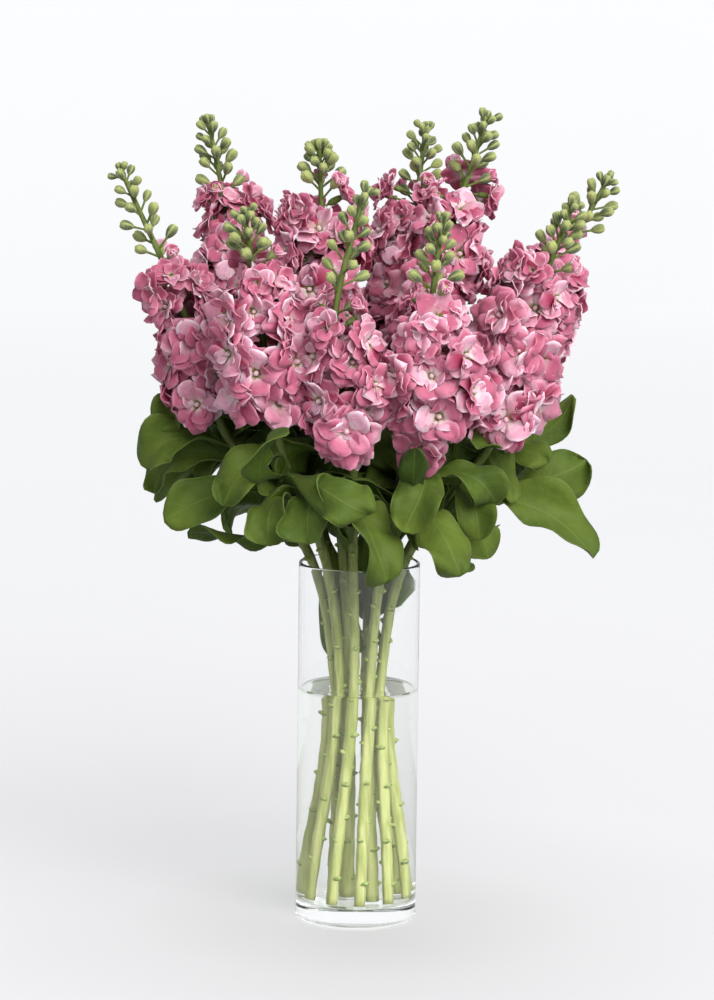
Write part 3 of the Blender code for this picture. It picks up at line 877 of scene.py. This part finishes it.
class STOCK_OT_vase(bpy.types.Operator):
    """Blow the glass cylinder, with its heavy base and rounded lip"""

    bl_idname = "stock.vase"
    bl_label = "Vase"

    def execute(self, context):
        vase = context.scene.stock_vase
        lip, foot_round, hollow = vase.wall / 2, 0.0035, 0.0012
        inside = vase.radius - vase.wall
        below = vase.height - 0.004
        outline = [
            (0.0, vase.base - 0.0006),
            (inside * 0.35, vase.base - 0.0005),
            (inside * 0.7, vase.base - 0.0002),
            *arc((inside - FLOOR_ROUND, vase.base + FLOOR_ROUND), FLOOR_ROUND, -90, 0, 10),
            *[(inside, z) for z in np.linspace(vase.base + FLOOR_ROUND + 0.004, below, 24)],
            *arc((vase.radius - lip, vase.height - lip), lip, 180, 0, 10),
            *[(vase.radius, z) for z in np.linspace(below, 0.008, 24)],
            *arc((vase.radius - foot_round, foot_round), foot_round, 0, -90, 8),
            (vase.radius - 0.010, 0.0),
            (vase.radius - 0.014, hollow * 0.6),
            (vase.radius - 0.022, hollow),
            (0.0, hollow * 1.2),
        ]
        glass = clear_finish("clear_glass", vase.glass_colour, GLASS_IOR, 0.05, 22.0)
        add_piece("vase_glass", turned(outline, ROUND_STEPS), [glass], "glass", "vase")
        return {"FINISHED"}


class STOCK_OT_water(bpy.types.Operator):
    """Fill the vase, with the water drawn up a little at the glass, and its bubbles"""

    bl_idname = "stock.water"
    bl_label = "Water"

    def execute(self, context):
        vase, water = context.scene.stock_vase, context.scene.stock_water
        radius = vase.radius - vase.wall + 0.00006
        floor, climb = vase.base - 0.0006, 0.0016
        edge = [
            (radius - 0.004 + 0.004 * t, water.level + climb * t**3)
            for t in np.linspace(0, 1, 9)
        ]
        outline = [
            (0.0, water.level),
            (radius * 0.5, water.level),
            *edge,
            *[(radius, z) for z in np.linspace(water.level - 0.002, 0.028, 16)],
            *arc((radius - FLOOR_ROUND, vase.base + FLOOR_ROUND), FLOOR_ROUND, 0, -90, 10),
            (radius * 0.7, floor + 0.0003),
            (radius * 0.35, floor),
            (0.0, floor),
        ]
        clear = clear_finish("clear_water", water.water_colour, WATER_IOR, 0.03, 30.0)
        add_piece("vase_water", turned(outline, ROUND_STEPS), [clear], "water", "water")

        draw = random.Random(5)
        bm = bmesh.new()
        for _ in range(water.bubbles):
            stem = draw.choice(sorted(STEMS))
            size = draw.uniform(0.0005, 0.0013)
            foot = Vector(on_stem(stem, water.level))
            place = foot + bearing_vector(draw.uniform(0, 360)) * (0.0042 + size)
            if place.xy.length > vase.radius - vase.wall - 0.002:
                continue
            made = bmesh.ops.create_uvsphere(bm, u_segments=10, v_segments=6, radius=size)
            bmesh.ops.translate(bm, verts=made["verts"], vec=place)
        film = clear_finish("bubble_film", (1.0, 1.0, 1.0), BUBBLE_IOR, 0.05, 300.0)
        add_piece("bubbles", bm, [film], "water")
        return {"FINISHED"}


# Stems


def floret_places(stem):
    """Each floret of a head: its middle, direction, size, spin and how far up it is."""
    florets = bpy.context.scene.stock_florets
    low, high, first = HEADS[stem]
    count = round((high - low) * MM / florets.spacing)
    given = [(*row[1:3], *(row[3:] or (2,))) for row in PLACED_FLORETS if row[0] == stem]
    spiral = [
        (between((low, high), n / count), first + GOLDEN_ANGLE * n, None)
        for n in range(count + 1)
    ]
    draw = random.Random("florets " + stem)
    places = []
    for height, bearing, further in given + spiral:
        placed = further is not None
        t = min(max((height - low) / (high - low), 0.0), 1.0)
        if not placed:
            bearing += draw.uniform(-14, 14)
            height += draw.uniform(-2.0, 2.0)
        along = stem_direction(stem, height * MM)
        nod = between((0, 36), t**1.2) + draw.uniform(-24, 20)
        outwards = raised(along, bearing, PLACED_NOD if placed else nod)
        reach = between(FLORET_REACH, t**1.3)
        reach += further * MM if placed else draw.uniform(-0.0060, 0.0045)
        middle = Vector(on_stem(stem, height * MM)) + outwards * reach
        if not placed and any((middle - other[0]).length < FLORET_APART for other in places):
            continue
        size = florets.radius * between((1.0, 0.78), t**1.6) * draw.uniform(0.82, 1.08)
        places.append((middle, outwards, size, draw.uniform(0, math.tau), t))
    return places


def bud_places(stem):
    """Each green bud of a stem: its base, direction, size and where its stalk starts."""
    count = bpy.context.scene.stock_buds.count
    draw = random.Random("buds " + stem)
    start = HEADS[stem][1] * MM + 0.010
    places = []
    for n in range(count):
        t = n / (count - 1)
        height = between((start, stem_tip(stem) - 0.006), t**0.72)
        climb = between((34, 52), t) + draw.uniform(-8, 10)
        if t > 0.72:
            climb = draw.uniform(34, 86)
        bearing = HEADS[stem][2] + 60 + GOLDEN_ANGLE * n
        outwards = raised(stem_direction(stem, height), bearing, climb)
        reach = between((0.0150, 0.0075), t) * draw.uniform(0.70, 1.12)
        size = between((1.05, 0.66), t) * draw.uniform(0.90, 1.10)
        root = Vector(on_stem(stem, height - 0.20 * reach))
        places.append((root + outwards * reach, outwards, size, root, t))
    return places


def add_stalk(bm, root, end, outwards, radius):
    """A thin curved stalk from the stem's middle line to a floret or bud."""
    pull = end - outwards * (end - root).length * 0.5
    line = [bow(root, pull, end, t) for t in np.linspace(0, 1, 6)]
    add_tube(bm, line, [radius] * 5 + [radius * 1.25], 6)


def add_calyx(bm, base, outwards, size):
    """The green cup that holds a floret's petals."""
    line = [base + outwards * size * step for step in (-0.02, 0.06, 0.20, 0.38, 0.50)]
    add_tube(bm, line, [size * part for part in (0.045, 0.11, 0.135, 0.125, 0.10)], 8)


def add_scar(bm, stem, height, bearing, size):
    """The stub left where a leaf was stripped from the stem."""
    along = stem_direction(stem, height)
    side = side_of(along, bearing)
    outwards = (side + along * 0.55).normalized()
    root = Vector(on_stem(stem, height)) + side * stem_radius(stem, height) * 0.80
    cone = bmesh.ops.create_cone(
        bm, cap_ends=True, segments=8, radius1=size, radius2=size * 0.72,
        depth=size * 1.25,
    )
    verts = cone["verts"]
    turn = Matrix((side.cross(along), along, side)).transposed().to_4x4()
    tilt = outwards.rotation_difference(side).inverted().to_matrix().to_4x4()
    squeeze = Matrix.Diagonal((1.0, 0.62, 1.0, 1.0))
    place = Matrix.Translation(root + outwards * size * 0.3) @ tilt @ turn @ squeeze
    bmesh.ops.transform(bm, matrix=place, verts=verts)
    for vert in verts:
        for face in vert.link_faces:
            face.material_index = 1


class STOCK_OT_stalks(bpy.types.Operator):
    """Grow the ten ridged stems with their leaf scars, and the stalks of florets and buds"""

    bl_idname = "stock.stalks"
    bl_label = "Stems"

    def execute(self, context):
        finishes = [stalk_finish(), scar_finish()]
        for stem in STEMS:
            draw = random.Random("scars " + stem)
            bm = bmesh.new()
            heights = np.linspace(FOOT_HEIGHT, stem_tip(stem), 96)
            swell = 1 + 0.05 * np.sin(heights * 260 + draw.uniform(0, 6))
            radii = stem_radius(stem, heights) * swell
            add_tube(bm, on_stem(stem, heights), radii, 24, RIDGE_DEPTH)
            height, bearing = 0.030 + draw.uniform(0, 0.012), draw.uniform(0, 360)
            while height < SCARS_TOP:
                add_scar(bm, stem, height, bearing, draw.uniform(0.0026, 0.0036))
                height += draw.uniform(0.012, 0.020)
                bearing += GOLDEN_ANGLE
            for middle, outwards, size, _, _ in floret_places(stem):
                base = middle - outwards * size * 0.78
                add_calyx(bm, base, outwards, size)
                low = max(base.z - 0.35 * size, STALKS_FROM)
                add_stalk(bm, Vector(on_stem(stem, low)), base, outwards, 0.0010)
            for base, outwards, size, root, _ in bud_places(stem):
                add_stalk(bm, root, base, outwards, 0.0004 + 0.0006 * size)
            add_piece("stalk_" + stem, bm, finishes, "leaf", "stem_" + stem)
        return {"FINISHED"}


# Leaves


def midrib(root, middle, tip, t):
    """Points and directions on the curve from root to tip through the middle."""
    pull = 2 * middle - (root + tip) / 2
    t = t[:, None]
    return bow(root, pull, tip, t), unit((pull - root) * (1 - t) + (tip - pull) * t)


def leaf_width(t):
    """The leaf's width over its greatest: a narrow stalk, a broad blade, a round tip."""
    end = between((0.13, 0.80), t)
    full = end + (1 - end) * np.sin(math.pi * t**2.0)
    return full * np.sqrt(np.clip(1 - np.clip((t - 0.80) / 0.20, 0, 1) ** 2.3, 0.0, 1))


def add_leaf(bm, chart, number, leaf):
    """One leaf: a grid bent along its midrib, with waved edges."""
    stem, height, middle, tip, width, roll, tip_roll = leaf
    root = on_stem(stem, height * MM)
    middle, tip = np.array(middle) * MM, np.array(tip) * MM
    draw = random.Random(number)
    grid = bmesh.ops.create_grid(bm, x_segments=24, y_segments=8, size=0.5)
    verts = grid["verts"]
    flat = places_of(verts)
    t, across = flat[:, 0] + 0.5, flat[:, 1] * 2
    for vert, u, v in zip(verts, t, across):
        for loop in vert.link_loops:
            loop[chart].uv = (u, v / 2 + 0.5)
    t = 1 - (1 - t) ** 1.25
    points, along = midrib(root, middle, tip, t)
    heading = unit((tip - root)[:2])
    level = np.array((heading[1], -heading[0], 0.0))
    side = unit(level - along * (along @ level)[:, None])
    face = np.cross(side, along)
    rolls = np.radians(np.interp(t, (0, 0.5, 1), (0, roll, tip_roll)))[:, None]
    side, face = (
        side * np.cos(rolls) + np.cross(along, side) * np.sin(rolls),
        face * np.cos(rolls) + np.cross(along, face) * np.sin(rolls),
    )
    half = width * MM / 2 * leaf_width(t)
    full = width * MM / 2
    wave = 0.75 * full * np.sin(8.0 * t + 1.7 * number + 1.6 * across)
    ruffle = 0.32 * full * np.sin(17.0 * t + 2.6 * across + draw.uniform(0, 6)) * across**2
    fold = draw.uniform(-0.40, 0.60) * half * np.abs(across) ** 1.4
    rib = -0.0007 * np.exp(-((across / 0.07) ** 2)) * (1 - t)
    curl = draw.uniform(-0.10, 0.80) * full * np.clip((t - 0.60) / 0.40, 0, 1) ** 2
    free = t * np.minimum(1.0, leaf_width(t) / 0.6)
    lift = fold + (wave * np.abs(across) + ruffle) * free + rib - curl
    ends = points + side * (across * half)[:, None] + face * lift[:, None]
    move_to(verts, in_box(ends))


def inner_leaves():
    """Leaves inside the bunch and narrow ones by the rim, in rows like those of LEAVES."""
    draw = random.Random(INNER_SEED)
    stems = sorted(STEMS)
    rows = []
    while len(rows) < INNER_LEAVES:
        stem = stems[len(rows) % len(stems)]
        height = draw.uniform(340, 408)
        foot = Vector(on_stem(stem, height * MM)) / MM
        out = bearing_vector(draw.uniform(0, 360))
        length = draw.uniform(62, 90)
        upright = len(rows) % 2
        middle = foot + out * length * 0.52 + Vector((0, 0, draw.uniform(-2, 16) + 14 * upright))
        tip = foot + out * length * 0.94 + Vector((0, 0, draw.uniform(-34, -4) + 38 * upright))
        tip.z = max(tip.z, INNER_LOWEST)
        if (tip.x / INNER_REACH[0]) ** 2 + (tip.y / INNER_REACH[1]) ** 2 > 1:
            continue
        roll = draw.uniform(-45, 45)
        rows.append(
            (stem, height, tuple(middle), tuple(tip), draw.uniform(26, 36), roll, roll * 1.3)
        )
    for number in range(RIM_LEAVES):
        stem = stems[number % len(stems)]
        height, length = draw.uniform(304, 345), draw.uniform(50, 80)
        foot = Vector(on_stem(stem, height * MM)) / MM
        above = Vector(on_stem(stem, (height + 0.8 * length) * MM)) / MM
        out = bearing_vector(draw.uniform(0, 360)) * length
        roll = draw.uniform(-60, 60)
        rows.append(
            (stem, height, tuple((foot + above) / 2 + out * 0.16), tuple(above + out * 0.34),
             draw.uniform(16, 24), roll, roll)
        )
    return rows


class STOCK_OT_leaves(bpy.types.Operator):
    """Grow the long grey-green leaves that spread over the rim of the vase"""

    bl_idname = "stock.leaves"
    bl_label = "Leaves"

    def execute(self, context):
        leaves = context.scene.stock_leaves
        finishes = [
            leaf_finish("leaf_upper", leaves.upper_colour, False),
            leaf_finish("leaf_under", leaves.under_colour, True),
        ]
        for stem in STEMS:
            bm = bmesh.new()
            chart = bm.loops.layers.uv.new("blade")
            for number, leaf in enumerate((*LEAVES, *inner_leaves())):
                if leaf[0] == stem:
                    add_leaf(bm, chart, number, leaf)
            bmesh.ops.remove_doubles(bm, verts=bm.verts, dist=1e-6)
            piece = add_piece("leaves_" + stem, bm, finishes, "leaf", "stem_" + stem)
            thicken(piece, leaves.thickness, 1)
        return {"FINISHED"}


# Florets


def add_petal(bm, marks, turn, form, tone, draw):
    """One petal of a floret of radius 1 that faces +Z, as a grid bent outwards."""
    length, width, opening, recurve, cup, ruffle, roll, rank = form
    grid = bmesh.ops.create_grid(bm, x_segments=4, y_segments=5, size=0.5)
    verts = grid["verts"]
    flat = places_of(verts)
    across, along = flat[:, 0] * 2, flat[:, 1] + 0.5
    steps = np.linspace(0, 1.05, 22)
    lean = np.radians(
        opening * smooth((steps - 0.04) / 0.40)
        + recurve * np.clip((steps - 0.45) / 0.55, 0, 1) ** 2
    )
    out = np.concatenate([[0], np.cumsum(np.sin(lean[:-1]) + np.sin(lean[1:])) / 2])
    up = np.concatenate([[0], np.cumsum(np.cos(lean[:-1]) + np.cos(lean[1:])) / 2])
    out, up = out * steps[1] * length, up * steps[1] * length
    notch = draw.uniform(-0.03, 0.08) * (1 - np.abs(across)) * along**6
    uneven = draw.uniform(-0.05, 0.05) * across * along**3
    reach = along * (1 - 0.14 * across**2 * along**2) - notch + uneven
    rounded = 1 - 0.30 * np.clip((along - 0.72) / 0.28, 0, 1) ** 2
    half = width * (0.09 + 0.91 * smooth((along - 0.19) / 0.42)) * rounded
    phase, waves = draw.uniform(0, math.tau), draw.uniform(2.2, 4.2)
    bend = (
        cup * across**2 * half
        + roll * across * half * along
        + ruffle * np.sin(waves * across + phase) * along**2
        + 0.5 * ruffle * np.sin(7 * along + phase) * along
    )
    angle = np.interp(reach, steps, lean)
    radial = 0.05 + np.interp(reach, steps, out) - np.cos(angle) * bend
    rise = np.interp(reach, steps, up) + np.sin(angle) * bend
    skew = across * half + draw.uniform(-0.10, 0.10) * along**2
    places = np.stack(
        [
            radial * math.cos(turn) - skew * math.sin(turn),
            radial * math.sin(turn) + skew * math.cos(turn),
            rise,
        ],
        axis=1,
    )
    move_to(verts, places)
    for vert, v, s in zip(verts, along, across):
        edge = 1.0 if v > 0.99 else abs(s) * min(v / 0.5, 1.0)
        vert[marks] = (max(v - 0.12 * (1 - rank), 0.0), edge, rank, tone)


# Each whorl of an open, a young and a closed floret, from the outermost in: petals, length,
# half width, opening, recurve, cup, ruffle, roll and rank, where 1 is innermost
OPEN_WHORLS = (
    (6, 1.24, 0.37, 104, 12, -0.05, 0.120, 0.40, 0.0),
    (5, 1.16, 0.38, 88, 8, 0.00, 0.130, 0.50, 0.3),
    (5, 1.00, 0.35, 75, 5, 0.05, 0.125, 0.55, 0.7),
    (3, 0.66, 0.24, 62, 0, 0.15, 0.090, 0.60, 1.0),
)
YOUNG_WHORLS = (
    (6, 1.12, 0.34, 84, 10, 0.05, 0.080, 0.35, 0.4),
    (5, 1.00, 0.32, 62, 5, 0.12, 0.080, 0.40, 0.7),
    (3, 0.80, 0.26, 34, 0, 0.20, 0.060, 0.40, 1.0),
)
CLOSED_WHORLS = (
    (5, 1.10, 0.46, 34, -62, 0.30, 0.020, 0.10, 0.4),
    (4, 1.00, 0.40, 26, -56, 0.40, 0.020, 0.10, 0.7),
)


def floret_mesh(whorls, seed, eye=False):
    """A floret of radius 1, its petals in whorls that stand between each other."""
    draw = random.Random(seed)
    bm = bmesh.new()
    marks = bm.verts.layers.float_color.new("petal")
    start = draw.uniform(0, math.tau)
    for number, (count, *form) in enumerate(whorls):
        length, width, opening, recurve, cup, ruffle, roll, rank = form
        for petal in range(count):
            turn = start + math.tau * (petal + 0.5 * (number % 2)) / count
            turn += draw.uniform(-0.28, 0.28)
            shape = (
                length * draw.uniform(0.86, 1.06), width * draw.uniform(0.85, 1.12),
                opening + draw.uniform(-16, 11), recurve * draw.uniform(0.0, 1.8),
                cup + draw.uniform(-0.15, 0.15), ruffle * draw.uniform(0.5, 1.5),
                roll * draw.uniform(-1, 1), rank,
            )
            add_petal(bm, marks, turn, shape, draw.uniform(0, 1), draw)
        start += 0.35
    if eye:
        made = bmesh.ops.create_uvsphere(bm, u_segments=8, v_segments=6, radius=1.0)
        place = Matrix.Translation((0, 0, 0.26)) @ Matrix.Diagonal((0.075, 0.080, 0.13, 1))
        bmesh.ops.transform(bm, matrix=place, verts=made["verts"])
        for vert in made["verts"]:
            vert[marks] = (0.12 + 0.30 * (vert.co.z - 0.13) / 0.26, 0, 1, 0.9)
        throat = bmesh.ops.create_cone(
            bm, cap_ends=True, segments=10, radius1=0.10, radius2=0.26, depth=0.08,
        )
        bmesh.ops.translate(bm, verts=throat["verts"], vec=(0, 0, 0.08))
        for vert in throat["verts"]:
            vert[marks] = (0.13, 0, 1, 0.5)
    return mesh_from(bm, "floret")


def pressed(reach, limit):
    """Reaches eased back so that they never pass the limit."""
    free = 0.80 * limit
    room = limit - free
    eased_back = free + room * (1 - np.exp(-np.maximum(reach - free, 0) / room))
    return np.where(reach <= free, reach, eased_back)


def own_side(stem, places):
    """The places, eased back to the stem's own side of each neighbouring head."""
    height = np.clip(places[:, 2], HEADS_FOOT, stem_tip(stem))
    own = on_stem(stem, height)[:, :2]
    for other in STEMS:
        if other == stem:
            continue
        towards = on_stem(other, np.minimum(height, stem_tip(other)))[:, :2] - own
        apart = np.linalg.norm(towards, axis=1)
        towards = towards / apart[:, None]
        reach = ((places[:, :2] - own) * towards).sum(axis=1)
        back = pressed(reach, apart / 2 + HEADS_OVERLAP) - reach
        back = np.where(height > stem_tip(other) + TIP_CLEAR, 0.0, back)
        places[:, :2] += towards * back[:, None]
    return places


def add_floret(bm, mesh, place, stem):
    """A copy of a floret's or bud's mesh, put in its place on the stem's own side."""
    count = len(mesh.vertices)
    places = np.empty(count * 3)
    mesh.vertices.foreach_get("co", places)
    spot = np.array(place)
    places = places.reshape(-1, 3) @ spot[:3, :3].T + spot[:3, 3]
    made = mesh.copy()
    made.vertices.foreach_set("co", in_box(own_side(stem, places)).ravel())
    bm.from_mesh(made)
    bpy.data.meshes.remove(made)


class STOCK_OT_florets(bpy.types.Operator):
    """Fill the ten heads with double florets, open below and closing towards the top"""

    bl_idname = "stock.florets"
    bl_label = "Florets"

    def execute(self, context):
        finish = petal_finish()
        open_forms = [floret_mesh(OPEN_WHORLS, seed, eye=True) for seed in range(8)]
        young_forms = [floret_mesh(YOUNG_WHORLS, seed) for seed in range(20, 23)]
        closed_forms = [floret_mesh(CLOSED_WHORLS, seed) for seed in range(30, 32)]
        for stem in STEMS:
            draw = random.Random("forms " + stem)
            bm = bmesh.new()
            for middle, outwards, size, spin, t in floret_places(stem):
                forms = open_forms if t < YOUNG_FROM else young_forms
                place = facing(middle - outwards * size * 0.45, outwards, spin)
                add_floret(bm, draw.choice(forms), place @ Matrix.Scale(size, 4), stem)
            for base, outwards, *_ in bud_places(stem)[:2]:
                place = facing(base + outwards * 0.0030, outwards)
                form = draw.choice(closed_forms)
                add_floret(bm, form, place @ Matrix.Scale(CLOSED_SIZE, 4), stem)
            piece = add_piece("florets_" + stem, bm, [finish], "petal", "blooms_" + stem)
            thicken(piece, context.scene.stock_florets.petal_thickness)
        for form in open_forms + young_forms + closed_forms:
            bpy.data.meshes.remove(form)
        return {"FINISHED"}


# Buds


def bud_mesh(tone):
    """A bud 1 long that stands on the origin: four sepals that meet in a blunt tip."""
    bm = bmesh.new()
    marks = bm.verts.layers.float_color.new("bud")
    bmesh.ops.create_uvsphere(bm, u_segments=16, v_segments=10, radius=1.0)
    for vert in bm.verts:
        rise = (vert.co.z + 1) / 2
        turn = math.atan2(vert.co.y, vert.co.x)
        seam = abs(math.cos(2 * turn)) ** 4 if abs(vert.co.z) < 0.999 else 0.0
        full = (0.27 + 0.30 * rise) * (1 - 0.26 * seam * rise)
        vert.co.x *= full
        vert.co.y *= full
        vert.co.z = rise + 0.09 * (1 - seam) * rise**4 * math.hypot(vert.co.x, vert.co.y) / 0.3
        vert[marks] = (rise, seam, tone, 1)
    return mesh_from(bm, "bud")


class STOCK_OT_buds(bpy.types.Operator):
    """Set the green buds, which crowd together towards each stem's tip"""

    bl_idname = "stock.buds"
    bl_label = "Buds"

    def execute(self, context):
        finish = bud_finish()
        forms = [bud_mesh(tone) for tone in (0.0, 0.5, 1.0)]
        for stem in STEMS:
            draw = random.Random("bud tones " + stem)
            bm = bmesh.new()
            for base, outwards, size, _, t in bud_places(stem):
                place = facing(base - outwards * 0.0008, outwards, 20 * t)
                wide = between(BUD_WIDTHS, t) * size
                scale = Matrix.Diagonal((wide, wide, BUD_LENGTH * size, 1.0))
                bright = draw.uniform(0, 2.6) * (1 - 0.55 * t)
                add_floret(bm, forms[min(int(bright), 2)], place @ scale, stem)
            top = stem_tip(stem) - 0.004
            crown = facing(Vector(on_stem(stem, top)), stem_direction(stem, top))
            add_floret(bm, forms[0], crown @ Matrix.Scale(CROWN_SIZE, 4), stem)
            add_piece("buds_" + stem, bm, [finish], "leaf", "stem_" + stem)
        for form in forms:
            bpy.data.meshes.remove(form)
        return {"FINISHED"}


# Stage


def add_lamp(name, place, target_height, size, power, colour=(1.0, 1.0, 1.0)):
    """A large soft lamp aimed at this height on the Z axis, which the camera doesn't see."""
    lamp = bpy.data.lights.new(name, "AREA")
    lamp.shape = "RECTANGLE"
    lamp.size, lamp.size_y = size
    lamp.energy = power
    lamp.color = colour
    made = bpy.data.objects.new(name, lamp)
    bpy.context.scene.collection.objects.link(made)
    made.location = place
    aim = Vector((0, 0, target_height)) - Vector(place)
    made.rotation_euler = aim.to_track_quat("-Z", "Y").to_euler()
    made.visible_camera = False
    made.visible_transmission = False


class STOCK_OT_stage(bpy.types.Operator):
    """Set up the camera, the pale floor that sweeps up all round, and the soft light"""

    bl_idname = "stock.stage"
    bl_label = "Stage"

    def execute(self, context):
        scene, stage = context.scene, context.scene.stock_stage
        camera = bpy.data.objects.new("camera", bpy.data.cameras.new("camera"))
        scene.collection.objects.link(camera)
        camera.data.lens = CAMERA_LENS
        camera.data.sensor_width = CAMERA_SENSOR
        camera.data.clip_end = 100.0
        turn = (
            Matrix.Rotation(math.radians(CAMERA_YAW), 4, "Z")
            @ Matrix.Rotation(math.radians(90 - CAMERA_TILT), 4, "X")
            @ Matrix.Rotation(math.radians(CAMERA_ROLL), 4, "Z")
        )
        camera.matrix_world = Matrix.Translation(CAMERA_PLACE) @ turn
        scene.camera = camera

        curve = arc((5.2, 1.4), 1.4, -90, 0, 12)
        sweep = [(0.0, 0.0), (2.0, 0.0), (4.2, 0.0), *curve, (6.6, 4.0)]
        bm = turned([(x, z - STAGE_DROP) for x, z in sweep], STAGE_STEPS)
        floor = bpy.data.objects.new("stage_floor", mesh_from(bm, "stage_floor"))
        scene.collection.objects.link(floor)
        floor.data.materials.append(stage_finish())

        warm, cool = (1.0, 0.985, 0.97), (0.97, 0.98, 1.0)
        add_lamp("key", (2.0, -3.5, 3.4), 0.40, (4.2, 4.2), stage.key_power, warm)
        add_lamp("fill", (-2.0, -1.6, 1.2), 0.35, (1.6, 2.0), 6.0, cool)
        add_lamp("top", (0.2, 0.9, 2.4), 0.40, (1.8, 1.4), 12.0)
        add_lamp("back", (-0.8, 2.6, 3.0), 0.45, (2.4, 2.0), 24.0)
        world = bpy.data.worlds.new("soft_light")
        scene.world = world
        world.use_nodes = True
        tree = world.node_tree
        sky = tree.nodes["Background"].inputs
        sky["Color"].default_value = (0.96, 0.98, 1.0, 1.0)
        tree.links.new(dimmed(tree, SKY_SEEN, stage.sky_strength), sky["Strength"])
        scene.view_settings.view_transform = "Standard"
        return {"FINISHED"}


class STOCK_PT_panel(bpy.types.Panel):
    """Lists the steps that make the flowers, the vase and the stage"""

    bl_idname = "STOCK_PT_panel"
    bl_label = "Stock Flowers"
    bl_space_type = "VIEW_3D"
    bl_region_type = "UI"
    bl_category = "Stock Flowers"

    def draw(self, context):
        for name, group in SETTINGS.items():
            box = self.layout.box()
            for field in group.__annotations__:
                box.prop(getattr(context.scene, name), field)
            box.operator(name.replace("_", ".", 1))


STEPS = (
    STOCK_OT_stage, STOCK_OT_vase, STOCK_OT_water, STOCK_OT_stalks, STOCK_OT_leaves,
    STOCK_OT_buds, STOCK_OT_florets,
)
CLASSES = (*SETTINGS.values(), *STEPS, STOCK_PT_panel)


def register():
    for kind in CLASSES:
        bpy.utils.register_class(kind)
    for name, group in SETTINGS.items():
        setattr(bpy.types.Scene, name, PointerProperty(type=group))


def unregister():
    for name in SETTINGS:
        delattr(bpy.types.Scene, name)
    for kind in reversed(CLASSES):
        bpy.utils.unregister_class(kind)


def main():
    register()
    bpy.ops.stock.stage()
    bpy.ops.stock.vase()
    bpy.ops.stock.water()
    bpy.ops.stock.stalks()
    bpy.ops.stock.leaves()
    bpy.ops.stock.buds()
    bpy.ops.stock.florets()


if __name__ == "__main__":
    main()
